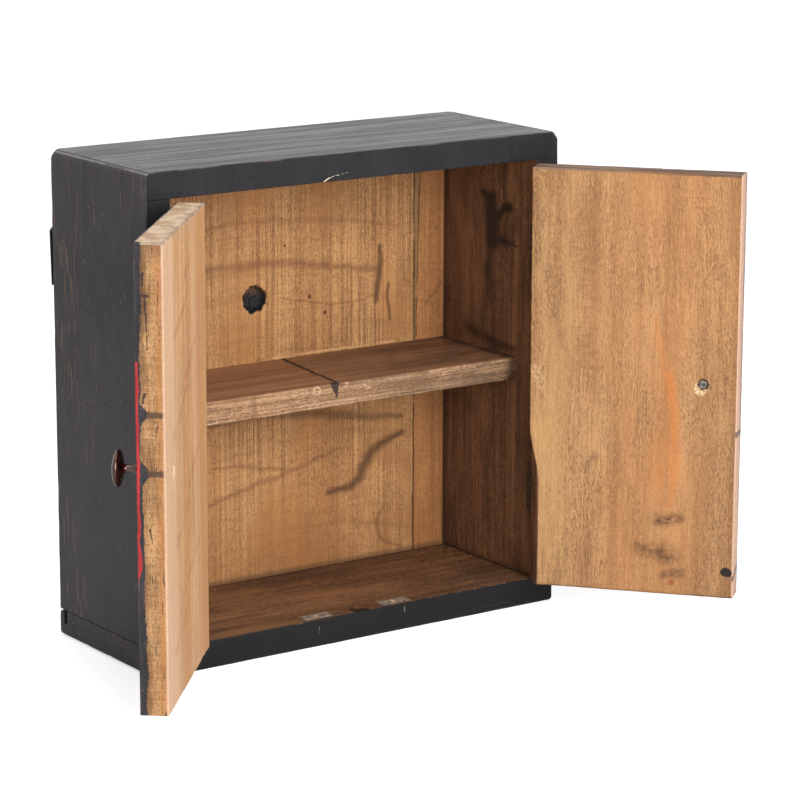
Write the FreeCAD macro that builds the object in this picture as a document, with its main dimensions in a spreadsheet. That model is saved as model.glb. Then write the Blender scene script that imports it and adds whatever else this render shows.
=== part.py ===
import FreeCAD, Part
import math
import operator
import os
from types import SimpleNamespace

import Sketcher
from FreeCAD import Placement, Rotation, Vector

# Medicine cabinet: a shallow case of reclaimed boards with two inset slab doors, one shelf,
# butt hinges, turned knobs, ball catches and two hooks that hang it on a wall.
# Millimetres, +Z up, +X to the right as seen from the front, +Y towards the wall.
# The origin is the middle of the case's underside.

# Driving dimensions, each written once
SIZES = {
    # case boards
    "case_width": 450.0,
    "case_depth": 168.0,
    "case_height": 458.0,
    "side_thickness": 25.0,
    "top_thickness": 25.0,
    "bottom_thickness": 26.0,
    "end_round": 6.0,
    "arris_round": 1.5,
    "rear_round": 7.0,
    # back planks, held by tongues in a groove that runs round the case
    "plank_thickness": 12.0,
    "plank_setback": 8.0,
    "tongue_thickness": 5.0,
    "tongue_length": 12.0,
    "groove_play": 0.2,
    "groove_spare": 1.0,
    "left_plank_face": 80.0,
    "right_plank_face": 36.0,
    "lap_length": 6.0,
    "lap_play": 0.4,
    "knot_from_left": 180.0,
    "knot_above_shelf": 61.0,
    "knot_half_width": 12.0,
    "knot_half_height": 13.0,
    "knot_depth": 8.0,
    # shelf, housed in the sides
    "shelf_thickness": 22.0,
    "shelf_top": 239.0,
    "shelf_setback": 29.0,
    "housing_depth": 6.0,
    "housing_play": 0.2,
    # doors, and the angles in degrees at which they stand open
    "door_thickness": 25.0,
    "door_hinge_gap": 1.2,
    "door_meeting_gap": 3.0,
    "door_top_gap": 2.0,
    "door_bottom_gap": 2.5,
    "door_round": 1.5,
    "left_open_angle": 131.5,
    "right_open_angle": 130.3,
    "wane_width": 8.0,
    "wane_depth": 11.0,
    "wane_height": 98.0,
    "wane_runout": 62.0,
    "wane_tip": 0.4,
    # butt hinges
    "hinge_length": 50.0,
    "hinge_inset": 85.0,
    "leaf_thickness": 1.1,
    "leaf_reach": 9.0,
    "leaf_play": 0.1,
    "knuckle_radius": 3.0,
    "knuckle_clearance": 0.2,
    "pin_radius": 1.5,
    "pin_play": 0.05,
    "pin_head_radius": 2.5,
    "pin_head_height": 1.2,
    "leaf_screw_pitch": 17.0,
    "leaf_screw_setback": 4.8,
    # small screws of the hinges and strike plates
    "small_screw_radius": 1.2,
    "small_screw_head_radius": 2.3,
    "small_screw_head_height": 0.9,
    "small_screw_length": 12.0,
    "small_slot_width": 0.6,
    "small_slot_depth": 0.5,
    # knobs
    "knob_radius": 16.0,
    "knob_head_thickness": 9.0,
    "knob_projection": 27.0,
    "knob_neck_radius": 3.2,
    "knob_foot_radius": 6.5,
    "knob_foot_height": 6.0,
    "knob_inset": 33.0,
    "knob_rise": 3.5,
    "knob_thread_depth": 13.0,
    "knob_thread_spare": 1.0,
    "knob_screw_radius": 2.0,
    "knob_screw_head_radius": 4.0,
    "knob_screw_head_height": 2.4,
    "knob_recess_radius": 5.5,
    "knob_recess_depth": 4.0,
    "knob_slot_width": 1.0,
    "knob_slot_depth": 1.0,
    # ball catches
    "catch_inset": 42.0,
    "catch_setback": 10.0,
    "barrel_radius": 4.5,
    "barrel_length": 16.0,
    "barrel_cap": 1.0,
    "barrel_play": 0.1,
    "flange_radius": 6.0,
    "flange_thickness": 0.8,
    "lip_radius": 3.2,
    "lip_thickness": 0.5,
    "ball_radius": 3.5,
    "ball_play": 0.1,
    "spring_radius": 2.6,
    "spring_wire_radius": 0.3,
    "spring_turns": 5.0,
    "spring_play": 0.03,
    # strike plates
    "strike_length": 31.0,
    "strike_width": 12.0,
    "strike_thickness": 1.0,
    "strike_sunk": 0.5,
    "strike_play": 0.1,
    "strike_hole_radius": 3.6,
    "strike_well_depth": 4.0,
    "strike_screw_pitch": 11.0,
    # wall hooks
    "hook_width": 18.0,
    "hook_inset": 1.5,
    "hook_drop": 71.0,
    "hook_height": 55.0,
    "hook_tail": 24.0,
    "hook_thickness": 1.6,
    "hook_reach_top": 7.5,
    "hook_reach_bottom": 5.5,
    "hook_fold": 5.0,
    "hook_screw_margin": 6.5,
    # screws of the case boards and hooks
    "board_screw_radius": 2.0,
    "board_screw_head_radius": 4.0,
    "board_screw_head_height": 2.4,
    "board_screw_length": 52.0,
    "board_screw_spread": 50.0,
    "hook_screw_length": 20.0,
    "hook_screw_head_height": 1.4,
    "board_slot_width": 0.9,
    "board_slot_depth": 0.9,
    "plug_radius": 4.6,
    "plug_depth": 4.0,
    # nails that hold the shelf
    "nail_radius": 1.4,
    "nail_head_radius": 2.4,
    "nail_head_height": 1.0,
    "nail_sunk": 0.8,
    "nail_length": 46.0,
    "nail_spread": 48.0,
    # play around every screw and nail in its hole
    "screw_play": 0.05,
}

OPERATIONS = {"+": operator.add, "-": operator.sub, "*": operator.mul, "/": operator.truediv}
TOUCH = 1e-6
KNUCKLES = 5
AXIS_TURNS = {
    "+z": Rotation(),
    "-z": Rotation(Vector(1, 0, 0), 180),
    "+x": Rotation(Vector(0, 1, 0), 90),
    "-x": Rotation(Vector(0, 1, 0), -90),
    "+y": Rotation(Vector(1, 0, 0), -90),
    "-y": Rotation(Vector(1, 0, 0), 90),
}


# A length kept both as a number and as a formula on the sheet's cells
class Size:
    def __init__(self, value, formula):
        self.value = value
        self.formula = formula

    def __add__(self, other):
        return combine(self, "+", other)

    def __radd__(self, other):
        return combine(other, "+", self)

    def __sub__(self, other):
        return combine(self, "-", other)

    def __rsub__(self, other):
        return combine(other, "-", self)

    def __mul__(self, other):
        return combine(self, "*", other)

    def __rmul__(self, other):
        return combine(other, "*", self)

    def __truediv__(self, other):
        return combine(self, "/", other)

    def __neg__(self):
        return combine(0, "-", self)


def as_size(number):
    if isinstance(number, Size):
        return number
    return Size(float(number), repr(float(number)))


def combine(left, sign, right):
    left = as_size(left)
    right = as_size(right)
    value = OPERATIONS[sign](left.value, right.value)
    return Size(value, f"({left.formula} {sign} {right.formula})")


def root(size):
    return Size(math.sqrt(size.value), f"sqrt({size.formula})")


doc = FreeCAD.newDocument("medicine_cabinet")
sheet = doc.addObject("Spreadsheet::Sheet", "dims")
for row, (alias, number) in enumerate(SIZES.items(), start=1):
    sheet.set(f"A{row}", alias)
    sheet.set(f"B{row}", str(number))
    sheet.setAlias(f"B{row}", alias)
doc.recompute()
s = SimpleNamespace(**{alias: Size(number, f"dims.{alias}") for alias, number in SIZES.items()})
sub_parts = []


def bind(obj, prop, size):
    obj.setExpression(prop, as_size(size).formula)


def place(obj, at, axis="+z"):
    obj.Placement = Placement(Vector(), AXIS_TURNS[axis])
    for letter, size in zip("xyz", at):
        bind(obj, f"Placement.Base.{letter}", size)


def keep(obj, label):
    obj.Label = label
    sub_parts.append(obj)
    return obj


# Bodies made of padded outlines and of added or cut primitives

def new_body(label):
    return keep(doc.addObject("PartDesign::Body", label), label)


def outline(body, plane, points, offset):
    sketch = body.newObject("Sketcher::SketchObject", body.Label + "_outline")
    support = next(f for f in body.Origin.OriginFeatures if f.Role == plane)
    sketch.AttachmentSupport = (support, [""])
    sketch.MapMode = "FlatFace"
    bind(sketch, "AttachmentOffset.Base.z", offset)
    corners = [Vector(across.value, along.value, 0) for across, along in points]
    for i, corner in enumerate(corners):
        sketch.addGeometry(Part.LineSegment(corner, corners[(i + 1) % len(corners)]))
    for i in range(len(corners)):
        sketch.addConstraint(Sketcher.Constraint("Coincident", i, 2, (i + 1) % len(corners), 1))
    for i, point in enumerate(points):
        for kind, size in zip(("DistanceX", "DistanceY"), point):
            index = sketch.addConstraint(Sketcher.Constraint(kind, -1, 1, i, 1, size.value))
            name = f"{kind}{i}"
            sketch.renameConstraint(index, name)
            bind(sketch, "Constraints." + name, size)
    return sketch


def pad(body, sketch, length):
    feature = body.newObject("PartDesign::Pad", body.Label + "_pad")
    feature.Profile = sketch
    bind(feature, "Length", length)
    return feature


def rectangle(low, high):
    return [(low[0], low[1]), (high[0], low[1]), (high[0], high[1]), (low[0], high[1])]


def board(label, low, high):
    body = new_body(label)
    sketch = outline(body, "XY_Plane", rectangle(low, high), low[2])
    pad(body, sketch, high[2] - low[2])
    return body


def primitive(body, kind, sizes, at, axis="+z"):
    feature = body.newObject("PartDesign::" + kind, f"{body.Label}_{kind}")
    for prop, size in sizes.items():
        bind(feature, prop, size)
    place(feature, at, axis)
    return feature


def box_sizes(low, high):
    return {prop: b - a for prop, a, b in zip(("Length", "Width", "Height"), low, high)}


def add_box(body, low, high):
    primitive(body, "AdditiveBox", box_sizes(low, high), low)


def cut_box(body, low, high):
    primitive(body, "SubtractiveBox", box_sizes(low, high), low)


def add_rod(body, at, axis, radius, length):
    primitive(body, "AdditiveCylinder", {"Radius": radius, "Height": length}, at, axis)


def cut_rod(body, at, axis, radius, length):
    primitive(body, "SubtractiveCylinder", {"Radius": radius, "Height": length}, at, axis)


def cut_cone(body, at, axis, radius, end_radius, length):
    sizes = {"Radius1": radius, "Radius2": end_radius, "Height": length}
    primitive(body, "SubtractiveCone", sizes, at, axis)


def ease(body, radius, wanted):
    doc.recompute()
    base = body.Tip
    edges = [f"Edge{i}" for i, edge in enumerate(base.Shape.Edges, start=1) if wanted(edge.CenterOfMass)]
    fillet = body.newObject("PartDesign::Fillet", body.Label + "_ease")
    fillet.Base = (base, edges)
    bind(fillet, "Radius", radius)


def level(number, size):
    return abs(number - as_size(size).value) < TOUCH


# Loose solids of Part primitives, for fasteners and turned hardware

def solid(kind, sizes, at=(0, 0, 0), axis="+z"):
    obj = doc.addObject("Part::" + kind, kind.lower())
    for prop, size in sizes.items():
        bind(obj, prop, size)
    place(obj, at, axis)
    return obj


def rod(radius, length, at=(0, 0, 0), axis="+z"):
    return solid("Cylinder", {"Radius": radius, "Height": length}, at, axis)


def join(pieces):
    obj = doc.addObject("Part::MultiFuse", "joined")
    obj.Shapes = pieces
    return obj


def subtract(base, tool):
    obj = doc.addObject("Part::Cut", "cut")
    obj.Base = base
    obj.Tool = tool
    return obj


def group(label, pieces):
    obj = keep(doc.addObject("Part::Compound", label), label)
    obj.Links = pieces
    return obj


# Wood screws: a countersunk head whose flat face lies at the screw's place, with a slot across it

SMALL_SCREW = SimpleNamespace(
    radius=s.small_screw_radius, length=s.small_screw_length,
    head_radius=s.small_screw_head_radius, head_height=s.small_screw_head_height,
    slot_width=s.small_slot_width, slot_depth=s.small_slot_depth)
BOARD_SCREW = SimpleNamespace(
    radius=s.board_screw_radius, length=s.board_screw_length,
    head_radius=s.board_screw_head_radius, head_height=s.board_screw_head_height,
    slot_width=s.board_slot_width, slot_depth=s.board_slot_depth)
HOOK_SCREW = SimpleNamespace(
    radius=s.board_screw_radius, length=s.hook_screw_length,
    head_radius=s.board_screw_head_radius, head_height=s.hook_screw_head_height,
    slot_width=s.board_slot_width, slot_depth=s.board_slot_depth)


def slot_across(radius, width, depth):
    low = (-radius, -width / 2, 0)
    return solid("Box", {"Length": 2 * radius, "Width": width, "Height": depth}, low)


def screw(kind, at, axis):
    head = solid("Cone", {"Radius1": kind.head_radius, "Radius2": kind.radius, "Height": kind.head_height})
    shank = rod(kind.radius, kind.length)
    obj = subtract(join([head, shank]), slot_across(kind.head_radius, kind.slot_width, kind.slot_depth))
    place(obj, at, axis)
    return obj


def screw_bore(body, kind, at, axis):
    cut_rod(body, at, axis, kind.radius + s.screw_play, kind.length + s.screw_play)


def screw_seat(body, kind, at, axis):
    cut_cone(body, at, axis, kind.head_radius + s.screw_play, kind.radius + s.screw_play, kind.head_height)
    screw_bore(body, kind, at, axis)


# Planes that the pieces share

half_width = s.case_width / 2
front = -s.case_depth / 2
rear = s.case_depth / 2
inner_side = half_width - s.side_thickness
floor_level = s.bottom_thickness
ceiling_level = s.case_height - s.top_thickness
plank_back = rear - s.plank_setback
plank_face = plank_back - s.plank_thickness
tongue_front = plank_back - s.tongue_thickness
groove_front = tongue_front - s.groove_play
groove_back = plank_back + s.groove_play
groove_depth = s.tongue_length + s.groove_spare
groove_end = inner_side + groove_depth
shelf_front = front + s.shelf_setback
shelf_under = s.shelf_top - s.shelf_thickness
shelf_middle = (shelf_front + plank_face) / 2
screw_line = half_width - s.side_thickness / 2
door_low = floor_level + s.door_bottom_gap
door_high = ceiling_level - s.door_top_gap
door_width = inner_side - s.door_hinge_gap - s.door_meeting_gap / 2
pin_x = inner_side - s.door_hinge_gap / 2
pin_proud = s.knuckle_radius + s.knuckle_clearance
pin_y = front - pin_proud
hinge_levels = {"upper": door_high - s.hinge_inset, "lower": door_low + s.hinge_inset}
catch_x = s.door_meeting_gap / 2 + s.catch_inset
catch_y = front + s.catch_setback
strike_top = floor_level + s.strike_thickness - s.strike_sunk
hook_top = s.case_height - s.hook_drop
hook_low = hook_top - s.hook_height
SIDES = {"left": -1, "right": 1}


def board_screw_spots(level_of_head):
    return [(side * screw_line, end * s.board_screw_spread, level_of_head)
            for side in SIDES.values() for end in (-1, 1)]


def leaf_screw_levels(hinge):
    return [hinge_levels[hinge] + step * s.leaf_screw_pitch for step in (-1, 0, 1)]


def strike_screw_spots(side):
    return [(side * catch_x + end * s.strike_screw_pitch, catch_y, strike_top) for end in (-1, 1)]


def hook_middle(side):
    return side * (half_width - s.hook_inset - s.hook_width / 2)


def hook_screw_spots(side):
    levels = (hook_low - s.hook_screw_margin, hook_low - s.hook_tail + s.hook_screw_margin)
    return [(hook_middle(side), rear + s.hook_thickness, z) for z in levels]


def nail_spots(side):
    depth = half_width - s.nail_sunk
    height = (s.shelf_top + shelf_under) / 2
    return [(side * depth, shelf_middle + step * s.nail_spread, height) for step in (-1, 0, 1)]


# Top and bottom boards run the full width and cap the sides.
# The groove for the back stops short in the top one and runs out at the ends of the bottom one.

def make_top_board():
    body = board("top_board", (-half_width, front, ceiling_level), (half_width, rear, s.case_height))
    ease(body, s.end_round, lambda m: level(abs(m.x), half_width) and level(m.z, s.case_height))
    ease(body, s.arris_round, lambda m: level(abs(m.y), rear) and m.z > ceiling_level.value + TOUCH)
    cut_box(body, (-groove_end, groove_front, ceiling_level),
            (groove_end, groove_back, ceiling_level + groove_depth))
    head_level = s.case_height - s.plug_depth
    for spot in board_screw_spots(head_level):
        cut_rod(body, (spot[0], spot[1], s.case_height), "-z", s.plug_radius + s.screw_play, s.plug_depth)
        screw_seat(body, BOARD_SCREW, spot, "-z")
    group("top_screws", [screw(BOARD_SCREW, spot, "-z") for spot in board_screw_spots(head_level)])
    group("screw_plugs", [rod(s.plug_radius, s.plug_depth, spot) for spot in board_screw_spots(head_level)])


def make_bottom_board():
    body = board("bottom_board", (-half_width, front, as_size(0)), (half_width, rear, floor_level))
    ease(body, s.end_round, lambda m: level(abs(m.x), half_width) and level(m.z, 0))
    ease(body, s.rear_round, lambda m: level(m.y, rear) and level(m.z, floor_level))
    ease(body, s.arris_round, lambda m: level(m.y, front) and m.z < floor_level.value - TOUCH)
    cut_box(body, (-half_width, groove_front, floor_level - groove_depth),
            (half_width, groove_back, floor_level))
    for spot in board_screw_spots(as_size(0)):
        screw_seat(body, BOARD_SCREW, spot, "+z")
    for side in SIDES.values():
        reach = s.strike_length / 2 + s.strike_play
        half = s.strike_width / 2 + s.strike_play
        cut_box(body, (side * catch_x - reach, catch_y - half, floor_level - s.strike_sunk),
                (side * catch_x + reach, catch_y + half, floor_level))
        cut_rod(body, (side * catch_x, catch_y, floor_level), "-z", s.strike_hole_radius, s.strike_well_depth)
        for spot in strike_screw_spots(side):
            screw_bore(body, SMALL_SCREW, spot, "-z")
    group("bottom_screws", [screw(BOARD_SCREW, spot, "+z") for spot in board_screw_spots(as_size(0))])


# Side boards stand between them, housed for the shelf, grooved for the back and let in for the hinges

def make_side_board(name, side):
    outer = side * half_width
    inner = side * inner_side
    low_x, high_x = (inner, outer) if side > 0 else (outer, inner)
    body = board(f"{name}_side_board", (low_x, front, floor_level), (high_x, rear, ceiling_level))
    ease(body, s.arris_round, lambda m: level(m.x, outer) and level(abs(m.y), rear))

    def let_in(depth, low_y, high_y, low_z, high_z):
        bottom = inner + side * depth
        near, far = (inner, bottom) if side > 0 else (bottom, inner)
        cut_box(body, (near, low_y, low_z), (far, high_y, high_z))

    let_in(groove_depth, groove_front, groove_back, floor_level, ceiling_level)
    let_in(s.housing_depth, shelf_front - s.housing_play, plank_face,
           shelf_under - s.housing_play, s.shelf_top + s.housing_play)
    half_leaf = s.hinge_length / 2 + s.leaf_play
    leaf_end = front + s.leaf_reach + s.leaf_play
    inward = "+x" if side > 0 else "-x"
    for hinge, middle in hinge_levels.items():
        let_in(s.leaf_thickness, front, leaf_end, middle - half_leaf, middle + half_leaf)
        for z in leaf_screw_levels(hinge):
            screw_bore(body, SMALL_SCREW, (inner, front + s.leaf_screw_setback, z), inward)
    for spot in board_screw_spots(s.case_height - s.plug_depth):
        if spot[0].value * side > 0:
            screw_bore(body, BOARD_SCREW, spot, "-z")
            screw_bore(body, BOARD_SCREW, (spot[0], spot[1], as_size(0)), "+z")
    for spot in hook_screw_spots(side):
        screw_bore(body, HOOK_SCREW, spot, "-y")
    outward = "-x" if side > 0 else "+x"
    for spot in nail_spots(side):
        cut_rod(body, (outer, spot[1], spot[2]), outward, s.nail_head_radius + s.screw_play,
                s.nail_sunk + s.nail_head_height)
        cut_rod(body, spot, outward, s.nail_radius + s.screw_play, s.nail_length)


# Back: three upright planks with half-lapped joints, tongues let into the groove all round

def make_back():
    left_joint = s.left_plank_face - inner_side
    right_joint = inner_side - s.right_plank_face
    end = inner_side + s.tongue_length
    low_end = floor_level - s.tongue_length
    high_end = ceiling_level + s.tongue_length
    half_lap = (plank_face + plank_back) / 2
    spans = {
        "left": (-end, left_joint - s.lap_play / 2, -inner_side, left_joint - s.lap_length),
        "middle": (left_joint - s.lap_length + s.lap_play, right_joint + s.lap_length - s.lap_play,
                   left_joint + s.lap_play / 2, right_joint - s.lap_play / 2),
        "right": (right_joint + s.lap_play / 2, end, right_joint + s.lap_length, inner_side),
    }
    for name, (low_x, high_x, step_low, step_high) in spans.items():
        body = board(f"back_plank_{name}", (low_x, plank_face, low_end), (high_x, plank_back, high_end))
        cut_box(body, (low_x, plank_face, low_end), (high_x, tongue_front, floor_level))
        cut_box(body, (low_x, plank_face, ceiling_level), (high_x, tongue_front, high_end))
        if name == "left":
            cut_box(body, (low_x, plank_face, low_end), (step_low, tongue_front, high_end))
            cut_box(body, (step_high, half_lap, low_end), (high_x, plank_back, high_end))
        if name == "middle":
            cut_box(body, (low_x, plank_face, low_end), (step_low, half_lap + s.lap_play, high_end))
            cut_box(body, (step_high, plank_face, low_end), (high_x, half_lap + s.lap_play, high_end))
            knot = {"Radius1": s.knot_half_height, "Radius2": s.knot_half_width, "Radius3": s.knot_depth}
            primitive(body, "SubtractiveEllipsoid", knot,
                      (s.knot_from_left - inner_side, plank_face, s.shelf_top + s.knot_above_shelf))
        if name == "right":
            cut_box(body, (step_high, plank_face, low_end), (high_x, tongue_front, high_end))
            cut_box(body, (low_x, half_lap, low_end), (step_low, plank_back, high_end))


def make_shelf():
    end = inner_side + s.housing_depth - s.housing_play
    body = board("shelf", (-end, shelf_front, shelf_under), (end, plank_face, s.shelf_top))
    ease(body, s.arris_round, lambda m: level(m.y, shelf_front) and level(m.x, 0))
    nails = []
    for side in SIDES.values():
        inward = "-x" if side > 0 else "+x"
        for spot in nail_spots(side):
            cut_rod(body, spot, inward, s.nail_radius + s.screw_play, s.nail_length)
            nail = join([rod(s.nail_head_radius, s.nail_head_height), rod(s.nail_radius, s.nail_length)])
            place(nail, spot, inward)
            nails.append(nail)
    group("shelf_nails", nails)


# Strike plates, let into the bottom board under the doors' ball catches

def make_strike_plates():
    screws = []
    for name, side in SIDES.items():
        body = new_body(f"{name}_strike_plate")
        middle = side * catch_x
        half_length = s.strike_length / 2
        half_breadth = s.strike_width / 2
        add_box(body, (middle - half_length, catch_y - half_breadth, strike_top - s.strike_thickness),
                (middle + half_length, catch_y + half_breadth, strike_top))
        cut_rod(body, (middle, catch_y, strike_top), "-z", s.strike_hole_radius, s.strike_thickness)
        for spot in strike_screw_spots(side):
            screw_seat(body, SMALL_SCREW, spot, "-z")
            screws.append(screw(SMALL_SCREW, spot, "-z"))
    group("strike_screws", screws)


# Wall hooks: a strip screwed to the side's rear edge, folded over at the top into a tongue that points down

def make_wall_hooks():
    screws = []
    for name, side in SIDES.items():
        body = new_body(f"{name}_wall_hook")
        tongue_top = hook_top - s.hook_fold
        mouth_top = tongue_top - s.hook_thickness
        profile = [
            (rear, hook_low - s.hook_tail),
            (rear, hook_top),
            (rear + s.hook_thickness, hook_top),
            (rear + s.hook_reach_top, tongue_top),
            (rear + s.hook_reach_bottom, hook_low),
            (rear + s.hook_reach_bottom - s.hook_thickness, hook_low),
            (rear + s.hook_reach_top - s.hook_thickness, mouth_top),
            (rear + s.hook_thickness, hook_top - 2 * s.hook_thickness),
            (rear + s.hook_thickness, hook_low - s.hook_tail),
        ]
        sketch = outline(body, "YZ_Plane", profile, hook_middle(side) - s.hook_width / 2)
        pad(body, sketch, s.hook_width)
        for spot in hook_screw_spots(side):
            screw_seat(body, HOOK_SCREW, spot, "-y")
            screws.append(screw(HOOK_SCREW, spot, "-y"))
    group("wall_hook_screws", screws)


# Butt hinges: two leaves with alternate knuckles on one pin

def make_leaf(label, pin, middle, lean, own):
    body = new_body(label)
    near = pin[0] + lean * s.door_hinge_gap / 2
    far = near + lean * s.leaf_thickness
    low_x, high_x = (near, far) if lean > 0 else (far, near)
    low_z = middle - s.hinge_length / 2
    plate_start = pin[1] + s.knuckle_radius + 2 * s.knuckle_clearance
    plate_end = pin[1] + pin_proud + s.leaf_reach
    add_box(body, (low_x, plate_start, low_z), (high_x, plate_end, low_z + s.hinge_length))
    step = s.hinge_length / KNUCKLES
    for i in own:
        knuckle_low = low_z + i * step + s.knuckle_clearance / 2
        knuckle_high = low_z + (i + 1) * step - s.knuckle_clearance / 2
        add_box(body, (low_x, pin[1], knuckle_low), (high_x, plate_start, knuckle_high))
        add_rod(body, (pin[0], pin[1], knuckle_low), "+z", s.knuckle_radius, knuckle_high - knuckle_low)
    cut_rod(body, (pin[0], pin[1], low_z), "+z", s.pin_radius + s.pin_play, s.hinge_length)
    return body


def leaf_screws(body, spots, axis):
    for spot in spots:
        screw_seat(body, SMALL_SCREW, spot, axis)
    return [screw(SMALL_SCREW, spot, axis) for spot in spots]


def make_frame_leaves():
    screws = []
    for name, side in SIDES.items():
        into_side = "+x" if side > 0 else "-x"
        for hinge, middle in hinge_levels.items():
            pin = (side * pin_x, pin_y)
            body = make_leaf(f"{name}_{hinge}_frame_leaf", pin, middle, side, range(0, KNUCKLES, 2))
            spots = [(side * inner_side, front + s.leaf_screw_setback, z) for z in leaf_screw_levels(hinge)]
            screws += leaf_screws(body, spots, into_side)
            low_end = middle - s.hinge_length / 2
            high_end = middle + s.hinge_length / 2
            shaft = rod(s.pin_radius, s.hinge_length, (pin[0], pin[1], low_end))
            foot = rod(s.pin_head_radius, s.pin_head_height, (pin[0], pin[1], low_end), "-z")
            head = rod(s.pin_head_radius, s.pin_head_height, (pin[0], pin[1], high_end))
            keep(join([shaft, foot, head]), f"{name}_{hinge}_hinge_pin")
    group("frame_leaf_screws", screws)


# Doors: each piece is drawn with the door shut, from the hinge pin, and then turned open about the pin.
# reach is the way from the pin to the meeting edge along X, +1 on the left door and -1 on the right one.

def hang(obj, door):
    obj.Placement = Placement(Vector(), Rotation(Vector(0, 0, 1), 1))
    bind(obj, "Placement.Base.x", -door.reach * pin_x)
    bind(obj, "Placement.Base.y", pin_y)
    bind(obj, "Placement.Rotation.Angle", -door.reach * door.open)


door_edge = s.door_hinge_gap / 2
door_face = pin_proud
door_inside = pin_proud + s.door_thickness
meeting_edge = door_edge + door_width
knob_level = (door_low + door_high) / 2 + s.knob_rise
knob_out = meeting_edge - s.knob_inset
catch_out = meeting_edge - s.catch_inset
recess_floor = door_inside - s.knob_recess_depth
lip_level = door_low - s.flange_thickness + s.lip_thickness
ball_level = lip_level + root(s.ball_radius * s.ball_radius - s.lip_radius * s.lip_radius) + s.spring_play


def cut_wane(body, door):
    arris_x = door.reach * door_edge
    sections = []
    stations = [
        (door_low, s.wane_width, s.wane_depth),
        (door_low + s.wane_height, s.wane_width, s.wane_depth),
        (door_low + s.wane_height + s.wane_runout, s.wane_tip, s.wane_tip),
    ]
    for z, width, depth in stations:
        corner = (arris_x, door_inside)
        along = (arris_x + door.reach * width, door_inside)
        across = (arris_x, door_inside - depth)
        sections.append(outline(body, "XY_Plane", [corner, along, across], z))
    loft = body.newObject("PartDesign::SubtractiveLoft", body.Label + "_wane")
    loft.Profile = sections[0]
    loft.Sections = sections[1:]
    loft.Ruled = True


def make_panel(door):
    ends = [door.reach * door_edge, door.reach * meeting_edge]
    low_x, high_x = ends if door.reach > 0 else ends[::-1]
    body = board(f"{door.name}_door_panel", (low_x, door_face, door_low), (high_x, door_inside, door_high))
    ease(body, s.door_round, lambda m: level(m.y, door_face) or level(abs(m.x), meeting_edge))
    if door.waned:
        cut_wane(body, door)
    edge_x = door.reach * door_edge
    floor_x = edge_x + door.reach * s.leaf_thickness
    near, far = (edge_x, floor_x) if door.reach > 0 else (floor_x, edge_x)
    half_leaf = s.hinge_length / 2 + s.leaf_play
    for hinge, middle in hinge_levels.items():
        cut_box(body, (near, door_face, middle - half_leaf),
                (far, door_face + s.leaf_reach + s.leaf_play, middle + half_leaf))
        for spot in door_screw_spots(door, hinge):
            screw_bore(body, SMALL_SCREW, spot, door.inward)
    knob_x = door.reach * knob_out
    cut_rod(body, (knob_x, door_face, knob_level), "+y", s.knob_screw_radius + s.screw_play, s.door_thickness)
    cut_rod(body, (knob_x, door_inside, knob_level), "-y", s.knob_recess_radius, s.knob_recess_depth)
    cut_rod(body, (door.reach * catch_out, door_face + s.catch_setback, door_low), "+z",
            s.barrel_radius + s.barrel_play, s.barrel_length + s.barrel_play)
    hang(body, door)


def door_screw_spots(door, hinge):
    x = door.reach * door_edge
    return [(x, door_face + s.leaf_screw_setback, z) for z in leaf_screw_levels(hinge)]


def make_door_leaves(door):
    screws = []
    for hinge, middle in hinge_levels.items():
        label = f"{door.name}_{hinge}_door_leaf"
        origin = (as_size(0), as_size(0))
        body = make_leaf(label, origin, middle, door.reach, range(1, KNUCKLES, 2))
        screws += leaf_screws(body, door_screw_spots(door, hinge), door.inward)
        hang(body, door)
    hang(group(f"{door.name}_door_leaf_screws", screws), door)


def make_knob(door):
    x = door.reach * knob_out
    half_head = s.knob_head_thickness / 2
    foot = solid("Cone", {"Radius1": s.knob_foot_radius, "Radius2": s.knob_neck_radius,
                          "Height": s.knob_foot_height}, (x, door_face, knob_level), "-y")
    neck = rod(s.knob_neck_radius, s.knob_projection - half_head, (x, door_face, knob_level), "-y")
    head = solid("Ellipsoid", {"Radius1": half_head, "Radius2": s.knob_radius, "Radius3": s.knob_radius},
                 (x, door_face - s.knob_projection + half_head, knob_level), "-y")
    thread = rod(s.knob_screw_radius + s.screw_play, s.knob_thread_depth + s.knob_thread_spare,
                 (x, door_face, knob_level), "-y")
    hang(keep(subtract(join([foot, neck, head]), thread), f"{door.name}_knob"), door)

    shank_length = recess_floor - door_face + s.knob_thread_depth
    shank = rod(s.knob_screw_radius, shank_length, (x, recess_floor, knob_level), "-y")
    cap = rod(s.knob_screw_head_radius, s.knob_screw_head_height, (x, recess_floor, knob_level), "+y")
    slot_face = recess_floor + s.knob_screw_head_height
    slot = solid("Box", {"Length": 2 * s.knob_screw_head_radius, "Width": s.knob_slot_depth,
                         "Height": s.knob_slot_width},
                 (x - s.knob_screw_head_radius, slot_face - s.knob_slot_depth,
                  knob_level - s.knob_slot_width / 2))
    hang(keep(subtract(join([shank, cap]), slot), f"{door.name}_knob_screw"), door)


def make_catch(door):
    x = door.reach * catch_out
    y = door_face + s.catch_setback
    flange_low = door_low - s.flange_thickness
    barrel_top = door_low + s.barrel_length
    body = new_body(f"{door.name}_catch_barrel")
    add_rod(body, (x, y, flange_low), "+z", s.flange_radius, s.flange_thickness)
    add_rod(body, (x, y, door_low), "+z", s.barrel_radius, s.barrel_length)
    cut_rod(body, (x, y, flange_low), "+z", s.lip_radius, s.lip_thickness)
    cut_rod(body, (x, y, lip_level), "+z", s.ball_radius + s.ball_play, barrel_top - s.barrel_cap - lip_level)
    hang(body, door)
    ball = new_body(f"{door.name}_catch_ball")
    primitive(ball, "AdditiveSphere", {"Radius": s.ball_radius}, (x, y, ball_level))
    hang(ball, door)
    make_spring(door, x, y, barrel_top - s.barrel_cap)


# The catch spring's wire follows a helix, each quarter turn as two tangent arcs

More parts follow.
